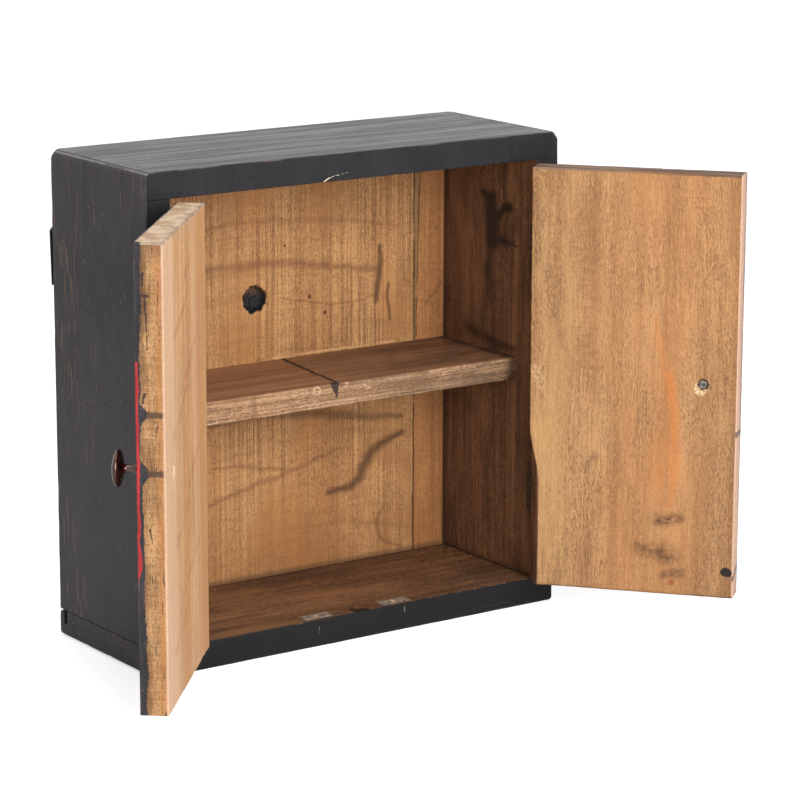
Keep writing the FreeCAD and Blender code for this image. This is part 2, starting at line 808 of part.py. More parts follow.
def biarc(start, start_way, end, end_way):
    span = end - start
    ways = start_way + end_way
    lean = 2 * (1 - start_way.dot(end_way))
    pull = span.dot(ways)
    reach = (math.sqrt(pull * pull + lean * span.dot(span)) - pull) / lean
    middle = (start + end + (start_way - end_way) * reach) * 0.5
    return [Part.Arc(start, arc_point(start, start_way, middle), middle).toShape(),
            Part.Arc(middle, arc_point(end, end_way * -1, middle), end).toShape()]


def arc_point(start, way, end):
    chord = end - start
    across = (way - chord * (way.dot(chord) / chord.dot(chord))).normalize()
    half_turn = math.acos(min(1.0, way.dot(chord) / chord.Length))
    return start + chord * 0.5 + across * (chord.Length * 0.5 * math.tan(half_turn / 2))


def make_spring(door, x, y, seat):
    ball_reach = s.ball_radius + s.spring_wire_radius
    rest = root(ball_reach * ball_reach - s.spring_radius * s.spring_radius)
    low = (ball_level + rest + s.spring_play).value
    high = (seat - s.spring_wire_radius - s.spring_play).value
    foot = Vector(x.value, y.value, low)
    radius = s.spring_radius.value
    quarters = int(round(4 * s.spring_turns.value))
    rise = (high - low) / quarters

    def station(i):
        turn = i * math.pi / 2
        spot = Vector(radius * math.cos(turn), radius * math.sin(turn), i * rise)
        way = Vector(-radius * math.sin(turn), radius * math.cos(turn), rise * 2 / math.pi)
        return foot + spot, way.normalize()

    edges = []
    for i in range(quarters):
        edges += biarc(*station(i), *station(i + 1))
    spine = Part.Wire(edges)
    start, way = station(0)
    ring = Part.Wire(Part.Circle(start, way, s.spring_wire_radius.value).toShape())
    label = f"{door.name}_catch_spring"
    spring = keep(doc.addObject("Part::Feature", label), label)
    spring.Shape = spine.makePipeShell([ring], True, False)
    hang(spring, door)


def make_door(door):
    make_panel(door)
    make_door_leaves(door)
    make_knob(door)
    make_catch(door)


make_top_board()
make_bottom_board()
for side_name, side_way in SIDES.items():
    make_side_board(side_name, side_way)
make_back()
make_shelf()
make_strike_plates()
make_wall_hooks()
make_frame_leaves()
make_door(SimpleNamespace(name="left", reach=1, open=s.left_open_angle, inward="+x", waned=False))
make_door(SimpleNamespace(name="right", reach=-1, open=s.right_open_angle, inward="-x", waned=True))
doc.recompute()

# Nothing is written unless every object came out sound
failed = [obj.Label for obj in doc.Objects if "Invalid" in obj.State or "Error" in obj.State]
failed += [obj.Label for obj in sub_parts if obj.Shape.isNull() or not obj.Shape.isValid()]
if failed:
    raise SystemExit("unsound: " + ", ".join(failed))
os.makedirs("parts", exist_ok=True)
for obj in sub_parts:
    obj.Shape.exportStep(f"parts/{obj.Label}.step")
    print(obj.Label, len(obj.Shape.Solids), round(obj.Shape.Volume, 1))
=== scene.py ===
import functools
import math
import random

import bmesh
import bpy
from mathutils import Matrix, Vector, noise


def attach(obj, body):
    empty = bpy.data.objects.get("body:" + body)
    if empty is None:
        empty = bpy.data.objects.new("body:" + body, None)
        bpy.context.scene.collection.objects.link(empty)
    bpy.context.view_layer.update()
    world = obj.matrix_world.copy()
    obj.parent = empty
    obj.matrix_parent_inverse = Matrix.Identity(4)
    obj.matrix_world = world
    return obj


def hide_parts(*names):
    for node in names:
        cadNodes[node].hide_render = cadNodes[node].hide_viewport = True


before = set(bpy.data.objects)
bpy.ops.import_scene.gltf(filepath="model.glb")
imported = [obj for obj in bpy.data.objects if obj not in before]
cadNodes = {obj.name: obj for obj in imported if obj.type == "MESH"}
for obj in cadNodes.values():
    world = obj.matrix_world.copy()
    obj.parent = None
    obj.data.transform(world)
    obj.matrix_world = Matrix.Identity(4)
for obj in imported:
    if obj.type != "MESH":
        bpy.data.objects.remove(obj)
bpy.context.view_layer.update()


# a shader socket with arithmetic, and one way to add any other node
class Sock:
    def __init__(self, tree, socket):
        self.tree = tree
        self.socket = socket

    def node(self, kind, settings, values, out=0):
        made = self.tree.nodes.new(kind)
        for key, value in settings.items():
            setattr(made, key, value)
        for key, value in values.items():
            if isinstance(value, Sock):
                self.tree.links.new(value.socket, made.inputs[key])
            else:
                made.inputs[key].default_value = value
        return Sock(self.tree, made.outputs[out])

    def math(self, operation, first, second=0.0):
        return self.node("ShaderNodeMath", {"operation": operation}, {0: first, 1: second})

    def __add__(self, other):
        return self.math("ADD", self, other)

    def __radd__(self, other):
        return self.math("ADD", other, self)

    def __sub__(self, other):
        return self.math("SUBTRACT", self, other)

    def __rsub__(self, other):
        return self.math("SUBTRACT", other, self)

    def __mul__(self, other):
        return self.math("MULTIPLY", self, other)

    def __rmul__(self, other):
        return self.math("MULTIPLY", other, self)

    def __truediv__(self, other):
        return self.math("DIVIDE", self, other)

    def __rtruediv__(self, other):
        return self.math("DIVIDE", other, self)


def tone(red, green, blue):
    levels = [value / 255 for value in (red, green, blue)]
    return tuple(v / 12.92 if v <= 0.04045 else ((v + 0.055) / 1.055) ** 2.4 for v in levels) + (1.0,)


def vector(operation, first, second, out=0):
    return first.node("ShaderNodeVectorMath", {"operation": operation}, {0: first, 1: second}, out)


def scaled(p, factors):
    return vector("MULTIPLY", p, factors)


def shifted(p, offset):
    return vector("ADD", p, offset)


def parts(p):
    return [p.node("ShaderNodeSeparateXYZ", {}, {0: p}, out) for out in range(3)]


def cloud(p, scale, detail=2.0, rough=0.5, warp=0.0):
    values = {"Vector": p, "Scale": scale, "Detail": detail, "Roughness": rough, "Distortion": warp}
    return p.node("ShaderNodeTexNoise", {}, values)


def along(p, axis, squeeze):
    factors = [1.0, 1.0, 1.0]
    factors[axis] = squeeze
    return scaled(p, factors)


# a place pushed about by noise that is read at another place
def bent(p, source, scale, detail, amounts):
    values = {"Vector": source, "Scale": scale, "Detail": detail}
    push = p.node("ShaderNodeTexNoise", {}, values, 1)
    return shifted(p, scaled(shifted(push, (-0.5, -0.5, -0.5)), amounts))


def ramp(value, low, high):
    values = {"Value": value, "From Min": low, "From Max": high}
    return value.node("ShaderNodeMapRange", {"interpolation_type": "SMOOTHSTEP"}, values)


def mixed(factor, first, second):
    return factor.node("ShaderNodeMix", {"data_type": "RGBA"}, {0: factor, 6: first, 7: second}, 2)


def least(first, second):
    return first.math("MINIMUM", first, second)


def most(first, second):
    return first.math("MAXIMUM", first, second)


def strongest(values):
    return functools.reduce(most, values)


# how far a value lies from a middle one
def away(value, middle=0.0):
    gap = value - middle if middle else value
    return gap.math("ABSOLUTE", gap)


# how near a point is to the line from one place to another, 1 on it and 0 beyond its half width
def streak(p, start, end, width, taper=0.0, wobble=0.0, soft=0.5):
    start, end = Vector(start), Vector(end)
    run = end - start
    flat = bent(p, p, 0.35 / wobble, 3.0, (wobble,) * 3) if wobble else p
    reach = shifted(flat, tuple(-start))
    share = vector("DOT_PRODUCT", reach, tuple(run), 1)
    share = p.node("ShaderNodeClamp", {}, {0: share / max(run.length_squared, 1e-9)})
    spot = p.node("ShaderNodeVectorMath", {"operation": "SCALE"}, {0: tuple(run), 3: share})
    gap = vector("DISTANCE", reach, spot, 1)
    half = width * (1.0 - taper * share) if taper else width
    return ramp(gap / half, 1.0, 1.0 - soft)


# a soft mark that follows a row of places on an upright face, narrowest at its two ends
def trail(flat, spots, width, wobble):
    flat = bent(flat, flat, 0.35 / wobble, 3.0, (wobble, 0.0, wobble))
    count = len(spots) - 1
    widths = []
    for step in range(count + 1):
        widths.append(width * (0.45 + 0.55 * math.sin(math.pi * (step + 0.4) / (count + 0.8))))
    marks = []
    for step in range(count):
        (x0, z0), (x1, z1) = spots[step:step + 2]
        taper = 1.0 - widths[step + 1] / widths[step]
        marks.append(streak(flat, (x0, 0, z0), (x1, 0, z1), widths[step], taper, 0.0, 1.0))
    return strongest(marks)


# several streaks as one mask: start, end, half width, taper, wobble, softness and depth of each
def blot(p, rows):
    return strongest([streak(p, *row[:6]) * row[6] for row in rows])


def newMaterial(name):
    material = bpy.data.materials.new(name)
    material.use_nodes = True
    tree = material.node_tree
    shader = tree.nodes["Principled BSDF"]
    coords = tree.nodes.new("ShaderNodeTexCoord")
    return material, shader, Sock(tree, coords.outputs["Object"])


def feed(shader, name, value):
    if isinstance(value, Sock):
        value.tree.links.new(value.socket, shader.inputs[name])
    else:
        shader.inputs[name].default_value = value


def bump(height, strength, distance):
    return height.node("ShaderNodeBump", {}, {"Height": height, "Strength": strength, "Distance": distance})


# bare timber: broad tone, growth bands, fine lines and short dark pores along the grain
def woodLook(p, look):
    axis = look["axis"]
    seed = look["seed"]
    q = shifted(p, (seed, seed * 1.7, seed * 0.6))
    q = bent(q, along(q, axis, 0.35), 11.0, look["waver"], (look["wander"],) * 3)
    broad = cloud(along(q, axis, 0.14), 16.0, 3.0)
    bands = cloud(along(q, axis, 0.03), look["bandScale"], 5.0, 0.65)
    lines = cloud(along(q, axis, look["lineSqueeze"]), look["lineScale"], 3.0, 0.65)
    broken = cloud(along(q, axis, 0.5), look["lineScale"] * 1.2, 2.0, 0.6)
    pores = ramp(cloud(along(q, axis, look["poreSqueeze"]), look["poreScale"], 2.0, 0.6), 0.49, 0.57)
    grit = cloud(along(q, axis, 0.6), 620.0, 3.0, 0.7)
    colour = mixed(ramp(broad * 0.45 + bands * 0.55, 0.36, 0.63), look["dark"], look["light"])
    warm = ramp(cloud(along(q, axis, 0.2), 7.0, 3.0), 0.42, 0.66)
    colour = mixed(warm * look["warmth"], colour, look["warm"])
    dim = ramp(lines, 0.47, 0.58) * (ramp(broken, 0.36, 0.52) * look["breaks"] + (1.0 - look["breaks"]))
    dim = dim * (ramp(cloud(along(q, axis, 0.3), 20.0, 4.0, 0.6), 0.32, 0.62) * 0.7 + 0.3)
    colour = mixed(dim * look["lineDepth"], colour, look["line"])
    dots = pores * ramp(cloud(along(q, axis, 0.4), 34.0, 3.0), 0.28, 0.6)
    colour = mixed(dots * look["poreDepth"], colour, look["line"])
    colour = mixed(ramp(grit, 0.5, 0.7) * look["grit"], colour, look["line"])
    colour = mixed(ramp(grit, 0.48, 0.3) * look["grit"], colour, look["light"])
    height = bands * 0.3 + broken * 0.3 - dots * 0.5 - dim * 0.35 + grit * 0.3
    return colour, height


# worn dark paint that shows the grain below it
def paintLook(p, look):
    axis = look["axis"]
    seed = look["seed"]
    q = shifted(p, (seed * 0.7, seed, seed * 1.3))
    lines = cloud(along(q, axis, 0.05), 260.0, 5.0, 0.7, 0.3)
    blotch = cloud(along(q, axis, 0.5), 24.0, 6.0, 0.66)
    grit = cloud(q, 520.0, 3.0, 0.7)
    mottle = lines * look["grain"] + blotch * (0.8 - look["grain"]) + grit * 0.2
    colour = mixed(ramp(mottle, 0.39, 0.61), look["dark"], look["light"])
    rubbed = ramp(cloud(along(q, axis, 0.06), 420.0, 3.0, 0.65), 0.55, 0.63)
    rubbed = rubbed * ramp(cloud(along(q, axis, 0.3), 17.0, 3.0), 0.48, 0.62)
    colour = mixed(rubbed * look["rubbing"], colour, look["rubbed"])
    specks = ramp(cloud(q, 420.0, 1.0), 0.69, 0.73) * ramp(cloud(q, 40.0, 1.0), 0.46, 0.6)
    colour = mixed(specks * look["specks"], colour, look["rubbed"])
    # painted shade: front faces are drawn darker, as less light falls on them
    front = ramp(parts(p)[1], -0.0832, -0.0837)
    colour = mixed(front * look["paintedShadeFront"], colour, look["front"])
    height = lines * look["grain"] * 1.4 + blotch * 0.2 + grit * 0.12 + rubbed * 0.2 - specks * 0.3
    roughness = look["gloss"] + (lines - 0.5) * look["grain"] * 0.9 + (blotch - 0.5) * 0.3
    long = cloud(along(q, axis, 0.05), 100.0, 4.0, 0.72)
    film = ramp(long * 0.6 + blotch * 0.25 + grit * 0.15, 0.44, 0.58) * look["film"]
    film = film * (ramp(parts(p)[0], -0.26, 0.16) * 0.24 + 0.76)  # thinner toward the left
    if "ends" in look:
        x, y, _ = parts(p)
        end = most(ramp(away(x), 0.2195, 0.2225), ramp(y, -0.0828, -0.0836))
        other, relief, dull, _ = paintLook(p, look["ends"])
        colour = mixed(end, colour, other)
        height = height * (1.0 - end) + relief * end
        roughness = roughness * (1.0 - end) + dull * end
        film = film * (1.0 - end)
    return colour, height, roughness, film


# how far a point on a board's surface is from the nearest arris
def arrisGap(p, low, high):
    gaps = []
    for value, near, far in zip(parts(p), low, high):
        gaps.append(least(value - near, far - value))
    a, b, c = gaps
    return most(least(a, b), least(most(a, b), c))


charcoal = {
    "dark": tone(33, 30, 33), "light": tone(57, 53, 56), "rubbed": tone(122, 98, 80),
    # front: the darker tone painted on front faces as shade
    "front": tone(20, 21, 24),
    "grain": 0.26, "rubbing": 0.4, "specks": 0.7, "gloss": 0.46, "paintedShadeFront": 0.8, "film": 0.0,
}
sidePaint = dict(charcoal, axis=2, seed=6.0, rubbing=0.5)
rawTimber = {
    "dark": tone(168, 122, 76), "light": tone(204, 158, 106), "warm": tone(196, 132, 76),
    "line": tone(104, 68, 40), "warmth": 0.25, "lineDepth": 0.5, "poreDepth": 0.5, "wander": 0.006,
    "waver": 2.0, "breaks": 1.0, "grit": 0.35, "bandScale": 90.0, "lineScale": 380.0,
    "lineSqueeze": 0.015, "poreScale": 760.0, "poreSqueeze": 0.2,
}
brownTimber = dict(rawTimber, dark=tone(86, 58, 39), light=tone(132, 92, 62), warm=tone(128, 81, 50),
                   line=tone(40, 26, 18), poreDepth=0.5, grit=0.5)


# a board's material: bare timber, paint where the mask is 1, then stains and painted shade laid over each in
# order
def boardMaterial(name, wood, paint=None, masks=None, stains=None, wear=None):
    material, shader, p = newMaterial(name)
    colour, height = woodLook(p, wood)
    roughness = 0.62 + height * 0.2
    if stains:
        for mask, shade in stains(p):
            colour = mixed(mask, colour, shade)
    if paint:
        coat, relief, sheen, film = paintLook(p, paint)
        if wear:
            gap = arrisGap(p, wear["low"], wear["high"])
            thin = ramp(gap + (cloud(p, 140.0, 3.0, 0.6) - 0.5) * wear["ragged"], wear["width"], 0.0)
            thin = thin * ramp(cloud(p, 30.0, 3.0), 0.4, 0.62)
            coat = mixed(thin * wear["depth"], coat, wear["tone"])
        cover = masks(p)
        for part, shade in cover[1:]:
            coat = mixed(part, coat, shade)
        cover = cover[0]
        colour = mixed(cover, colour, coat)
        height = height * (1.0 - cover) + relief * cover
        roughness = roughness * (1.0 - cover) + sheen * cover
        if paint["film"]:
            feed(shader, "Coat Weight", film * cover)
            feed(shader, "Coat Roughness", 0.35)
    feed(shader, "Base Color", colour)
    feed(shader, "Roughness", roughness)
    feed(shader, "Specular IOR Level", 0.26 if paint else 0.3)
    feed(shader, "Normal", bump(height, 0.5, 0.0007))
    return material


def addObject(name, data):
    made = bpy.data.objects.new(name, data)
    bpy.context.scene.collection.objects.link(made)
    return made


# an object from a finished mesh, smooth up to an angle in degrees
def addPiece(name, mesh, material, angle):
    bmesh.ops.recalc_face_normals(mesh, faces=mesh.faces)
    data = bpy.data.meshes.new(name)
    mesh.to_mesh(data)
    mesh.free()
    data.shade_smooth()
    data.set_sharp_from_angle(angle=math.radians(angle))
    data.materials.append(material)
    return addObject(name, data)


# coordinates for a board's grid: close together at both ends and round the places named
def gridLines(low, high, cell, rim, closeUps):
    spots = {low, high}
    for share in (0.12, 0.3, 0.55, 0.8, 1.0, 1.5):
        spots.add(low + rim * share)
        spots.add(high - rim * share)
    steps = max(1, round((high - low - 3 * rim) / cell))
    for step in range(steps + 1):
        spots.add(low + 1.5 * rim + (high - low - 3 * rim) * step / steps)
    for first, last, pitch in closeUps:
        count = max(1, round((last - first) / pitch))
        spots.update(first + (last - first) * step / count for step in range(count + 1))
    kept = []
    for spot in sorted(s for s in spots if low <= s <= high):
        if not kept or spot - kept[-1] > 0.00004:
            kept.append(spot)
    kept[-1] = high
    return kept


# a sawn board as a grid, with arrises rounded unevenly, small knocks, and faces that are not quite flat
def boardPiece(name, look, material, shape=None, matrix=None):
    low, high = look["low"], look["high"]
    dice = random.Random(look["seed"])
    lines = []
    for axis in range(3):
        closeUps = look.get("close", {}).get(axis, ())
        lines.append(gridLines(low[axis], high[axis], look["cell"], look["rim"], closeUps))
    counts = [len(line) for line in lines]
    mesh = bmesh.new()
    found = {}

    def corner(index):
        if index not in found:
            found[index] = mesh.verts.new([lines[axis][index[axis]] for axis in range(3)])
        return found[index]

    for axis in range(3):
        u, v = [other for other in range(3) if other != axis]
        for end in (0, counts[axis] - 1):
            for i in range(counts[u] - 1):
                for j in range(counts[v] - 1):
                    ring = []
                    for stepU, stepV in ((0, 0), (1, 0), (1, 1), (0, 1)):
                        index = [0, 0, 0]
                        index[axis], index[u], index[v] = end, i + stepU, j + stepV
                        ring.append(corner(tuple(index)))
                    mesh.faces.new(ring)
    edges = []
    for a, b in ((0, 1), (0, 2), (1, 2)):
        c = 3 - a - b
        for endA in (0, 1):
            for endB in (0, 1):
                radius = look["rounds"].get((a, endA, b, endB), look["round"])
                length = high[c] - low[c]
                knocks = []
                for _ in range(int(length * look["knocks"]) if radius > 0.0006 else 0):
                    place = low[c] + length * dice.random()
                    depth = dice.uniform(0.3, 1.0) ** 2 * look["knock"]
                    knocks.append((place, depth, dice.uniform(0.003, 0.009)))
                edges.append((a, endA, b, endB, c, radius, knocks, dice.random() * 40))
    for vert in mesh.verts:
        p = vert.co.copy()
        for axis in range(3):
            for end in (0, 1):
                gap = p[axis] - low[axis] if end == 0 else high[axis] - p[axis]
                weight = max(0.0, 1.0 - gap / look["rim"])
                if weight > 0:
                    apart = Vector((look["seed"], end * 9.0, axis * 5.0))
                    lift = 0.5 + 0.5 * noise.noise(p * look["waveScale"] + apart)
                    p[axis] += (1 - 2 * end) * weight * look["wave"] * lift
        for a, endA, b, endB, c, radius, knocks, offset in edges:
            gapA = p[a] - low[a] if endA == 0 else high[a] - p[a]
            gapB = p[b] - low[b] if endB == 0 else high[b] - p[b]
            ripple = noise.noise(Vector((p[c] * 55.0, offset, 0.0)))
            size = radius + min(radius, 0.0013) * look["uneven"] * ripple
            for place, depth, half in knocks:
                near = abs(p[c] - place) / half
                if near < 1:
                    size += depth * (1 - near * near) ** 2
            if gapA < size and gapB < size:
                out = math.hypot(size - gapA, size - gapB)
                if out > size:
                    newA = size - (size - gapA) * size / out
                    newB = size - (size - gapB) * size / out
                    p[a] = low[a] + newA if endA == 0 else high[a] - newA
                    p[b] = low[b] + newB if endB == 0 else high[b] - newB
        if shape:
            p = shape(p)
        vert.co = p
    bmesh.ops.dissolve_degenerate(mesh, edges=mesh.edges, dist=0.00002)
    piece = addPiece(name, mesh, material, 38)
    if matrix:
        piece.matrix_world = matrix
    return piece


def settle(piece, body, slot, *nodes):
    bpy.context.view_layer.update()
    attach(piece, body)
    if nodes:
        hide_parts(*nodes)


timberGrid = {
    "cell": 0.007, "rim": 0.0022, "round": 0.0014, "rounds": {}, "uneven": 0.5, "knocks": 18, "knock": 0.0012,
    "wave": 0.0002, "waveScale": 14.0,
}
hingeLevels = (0.1135, 0.346)
leafHalf = 0.0251


# the case's outer and inner sizes in metres
case = {"half": 0.225, "front": -0.084, "rear": 0.084, "top": 0.458,
        "inner": 0.2, "ceiling": 0.433, "floor": 0.026}

# top board
closedJoint = 0.00005
endClose = [(-0.2215, -0.214, 0.0012), (0.214, 0.2215, 0.0012)]
topLook = dict(timberGrid, low=(-case["half"], case["front"], case["ceiling"]),
               high=(case["half"], case["rear"], case["top"]), seed=3.0, wave=0.00002, corner=0.0085,
               close={0: endClose, 1: [(-0.0805, -0.073, 0.0012), (0.073, 0.0805, 0.0012)],
                      2: [(0.447, 0.455, 0.001)]},
               rounds={(0, 0, 2, 1): 0.006, (0, 1, 2, 1): 0.006, (0, 0, 2, 0): closedJoint,
                       (0, 1, 2, 0): closedJoint, (1, 0, 2, 0): 0.0008, (1, 1, 2, 0): closedJoint})
topPaint = dict(charcoal, axis=0, seed=3.0, grain=0.6, rubbing=0.3, rubbed=tone(104, 98, 98),
                dark=tone(16, 16, 18), light=tone(60, 57, 61), gloss=0.44, film=0.56, ends=sidePaint)
topMarks = {
    "split": [((-0.041, -0.084, 0.4332), (-0.034, -0.084, 0.437), 0.0007, 0.0, 0.003, 0.5, 1.0),
              ((-0.034, -0.084, 0.437), (-0.012, -0.084, 0.4405), 0.0005, 0.8, 0.003, 0.5, 1.0)],
    "scratch": [((-0.178, -0.012, 0.458), (-0.172, 0.004, 0.458), 0.0006, 0.5, 0.003, 0.5, 1.0),
                ((0.175, 0.02, 0.458), (0.19, -0.01, 0.458), 0.0007, 0.3, 0.008, 0.5, 1.0),
                ((0.19, -0.01, 0.458), (0.2, -0.045, 0.458), 0.0006, 0.3, 0.008, 0.5, 1.0)],
    # end: the top-left end arris line, partly paint wear and partly a painted highlight
    "end": [((-0.2232, 0, 0.4562), (-0.2228, 0, 0.4566), 0.0013, 0.0, 0.001, 0.8, 1.0),
            ((-0.2188, 0, 0.458), (-0.2184, 0, 0.458), 0.0008, 0.0, 0.001, 0.8, 0.5)],
}


# three of the top board's corners are worn rounder than its arrises
def topShape(p):
    size = topLook["corner"]
    inset = Vector((case["half"] - size, case["rear"] - size, case["top"] - size))
    for across, deep in ((-1, 1), (1, -1), (1, 1)):
        out = Vector((across * p.x, deep * p.y, p.z)) - inset
        if min(out) > 0 and out.length > size * 1.2:
            share = min(1.0, min(out) / size * 1.6)
            out = inset + out * (1.0 + (size * 1.2 / out.length - 1.0) * share)
            p = Vector((across * out.x, deep * out.y, out.z))
    return p


def topCover(p):
    x, y, z = parts(p)
    ragged = (cloud(p, 300.0, 3.0, 0.6) - 0.5) * 0.002
    under = ramp(z + ragged, 0.4334, 0.4328) * ramp(y, -0.0832, -0.0824) * ramp(away(x), 0.2, 0.1998)
    split = blot(p, topMarks["split"])
    scratch = blot(p, topMarks["scratch"])
    crack = streak(scaled(p, (0, 1, 1)), (0, 0.0715, 0.4415), (0, 0.0695, 0.453), 0.0012, 0.4, 0.008)
    # end: a light grey line on the rounded top-left end arris, partly paint wear and partly a painted highlight
    end = blot(scaled(p, (1, 0, 1)), topMarks["end"])
    end = end * ramp(cloud(along(p, 1, 0.3), 150.0, 5.0, 0.7), 0.3, 0.66)
    return [1.0 - under, (end * 0.6, tone(150, 146, 146)), (split, tone(205, 190, 165)),
            (scratch * 0.7, tone(170, 166, 164)), (crack * ramp(x, -0.21, -0.222), tone(16, 15, 16))]


topWear = {"low": (-case["half"], case["front"], 0.3), "high": topLook["high"], "width": 0.0014,
           "ragged": 0.003, "depth": 0.5, "tone": tone(122, 102, 96)}
topTimber = dict(brownTimber, axis=0, seed=3.0)
topMaterial = boardMaterial("top_board_paint", topTimber, topPaint, topCover, None, topWear)
topPiece = boardPiece("top_board_worn", topLook, topMaterial, topShape)
settle(topPiece, "carcass", "case_boards", "top_board")

# bottom board, with the open end of the back's groove showing at both ends
bottomLook = dict(timberGrid, low=(-case["half"], case["front"], 0.0),
                  high=(case["half"], case["rear"], case["floor"]), seed=5.0, wave=0.00002,
                  rounds={(0, 0, 2, 0): 0.006, (0, 1, 2, 0): 0.006, (1, 1, 2, 1): 0.007},
                  close={1: [(0.0708, 0.0762, 0.0054), (0.07075, 0.07625, 0.0055)],
                         2: [(0.003, 0.0065, 0.0008)]})
# the bottom board's front face takes a near-black painted shade
bottomPaint = dict(charcoal, axis=0, seed=5.0,
                   ends=dict(sidePaint, axis=0, front=tone(8, 8, 10), paintedShadeFront=0.92))
groove = {"front": 0.07078, "rear": 0.07622, "depth": 0.013}
strikeSeat = {"middle": 0.0435, "half": 0.0157, "front": -0.0802, "rear": -0.0675, "level": 0.0254}


def bottomShape(p):
    if groove["front"] < p.y < groove["rear"]:
        p.z = min(p.z, groove["depth"])
    if strikeSeat["front"] < p.y < strikeSeat["rear"]:
        if abs(abs(p.x) - strikeSeat["middle"]) < strikeSeat["half"]:
            p.z = min(p.z, strikeSeat["level"])
    return p


bottomLook["close"][0] = endClose + [(-0.0592, -0.0278, 0.0314), (-0.05915, -0.02785, 0.0313),
                                     (0.0278, 0.0592, 0.0314), (0.02785, 0.05915, 0.0313)]
bottomLook["close"][1] += [(-0.0802, -0.0675, 0.0127), (-0.08015, -0.06755, 0.0126)]


def bottomCover(p):
    x, y, z = parts(p)
    ragged = (cloud(p, 260.0, 3.0, 0.65) - 0.5) * 0.004
    bare = ramp(z, 0.0247, 0.0253) * ramp(y + ragged, -0.0836, -0.0824)
    bare = bare * ramp(away(x), 0.2003, 0.1997)
    tongue = streak(p, (0.004, -0.084, 0.026), (-0.003, -0.076, 0.026), 0.0095, 0.5, 0.005, 0.2)
    chips = streak(p, (0.05, -0.084, 0.022), (0.05, -0.084, 0.017), 0.0005)
    chips = most(chips, streak(p, (-0.046, -0.084, 0.02), (-0.046, -0.084, 0.008), 0.0004, 0.5, 0.002))
    return [most(1.0 - bare, tongue), (chips, tone(120, 112, 104)),
            (tongue * ramp(z, 0.0235, 0.025), tone(8, 8, 9))]


def bottomStainsAndShade(p):
    dark = streak(p, (-0.2, -0.02, 0.026), (-0.1, 0.0, 0.026), 0.012, 0.8, 0.02, 0.9) * 0.6
    cloudy = ramp(cloud(along(p, 0, 0.3), 26.0, 3.0), 0.5, 0.68) * 0.5
    bright = ramp(parts(p)[0], 0.02, -0.12) * ramp(cloud(along(p, 0, 0.1), 90.0, 4.0, 0.65), 0.4, 0.6) * 0.6
    # painted shade: the floor darker toward the rear, where it meets the back
    rear = ramp(parts(p)[1], 0.058, 0.0635) * 0.6
    wells = blot(p, [((middle - 0.002, -0.074, 0.0254), (middle + 0.002, -0.0745, 0.0254), 0.004, 0.0, 0.003,
                      0.5, 1.0) for middle in (-strikeSeat["middle"], strikeSeat["middle"])])
    chaff = ramp(cloud(p, 330.0, 1.0), 0.72, 0.75) * ramp(parts(p)[1], -0.02, 0.06)
    return [(bright, tone(146, 104, 68)), (cloudy, tone(62, 42, 28)), (dark, tone(36, 25, 19)),
            (rear, tone(50, 34, 23)), (wells, tone(222, 172, 122)), (chaff * 0.7, tone(190, 160, 122))]


bottomWear = {"low": bottomLook["low"], "high": (case["half"], case["rear"], 0.2), "width": 0.002,
              "ragged": 0.003, "depth": 0.35, "tone": tone(110, 100, 92)}
floorTimber = dict(brownTimber, axis=0, seed=5.0, dark=tone(92, 62, 40), light=tone(150, 105, 70),
                   lineDepth=0.7, poreDepth=0.65)
bottomMaterial = boardMaterial("bottom_board_paint", floorTimber, bottomPaint, bottomCover, bottomStainsAndShade,
                               bottomWear)
bottomPiece = boardPiece("bottom_board_worn", bottomLook, bottomMaterial, bottomShape)
settle(bottomPiece, "carcass", "case_boards", "bottom_board")
print("stage: top and bottom boards")

# side boards, let in for the hinge leaves at the front of the inner face
sideClose = {1: [(-0.0749, -0.07485, 0.00005)], 2: []}
for level in hingeLevels:
    sideClose[2].append((level - leafHalf - 0.00006, level - leafHalf, 0.00006))
    sideClose[2].append((level + leafHalf, level + leafHalf + 0.00006, 0.00006))
leafSeat = {"reach": -0.07488, "side": 0.2011, "door": 0.1977}


def inLeafSeat(p):
    return p.y < leafSeat["reach"] and min(abs(p.z - level) for level in hingeLevels) < leafHalf + 0.00002


def smooth(value):
    value = min(1.0, max(0.0, value))
    return value * value * (3 - 2 * value)


def sideShape(side):
    def shape(p):
        if inLeafSeat(p):
            p.x = side * max(side * p.x, leafSeat["side"])
        return p
    return shape


leftSpots = ((0.056, 0.227, 0.0022), (0.036, 0.227, 0.0016), (-0.008, 0.238, 0.0018), (-0.012, 0.246, 0.0014),
             (-0.045, 0.225, 0.0022))


def sideCover(side):
    def cover(p):
        x, y, z = parts(p)
        ragged = (cloud(p, 280.0, 3.0, 0.6) - 0.5) * 0.0016
        bare = ramp(x * side + ragged, 0.2008, 0.2002) * ramp(y, -0.0836, -0.0826)
        rub = ramp(cloud(along(p, 2, 0.05), 520.0, 3.0, 0.65), 0.54, 0.62) * ramp(y, 0.025, 0.05)
        rub = rub * ramp(y, 0.08, 0.066) * ramp(z, 0.16, 0.24) * ramp(z, 0.41, 0.36)
        rub = rub * ramp(cloud(p, 30.0, 3.0), 0.38, 0.56)
        marks = [(rub * (0.6 if side < 0 else 0.3), tone(132, 102, 78))]
        if side < 0:
            rows = [((0, across, up + 0.001), (0, across, up - 0.001), size, 0.0, 0.003, 0.5, 1.0)
                    for across, up, size in leftSpots]
            marks.append((blot(scaled(p, (0, 1, 1)), rows), tone(30, 25, 24)))
        return [1.0 - bare] + marks
    return cover


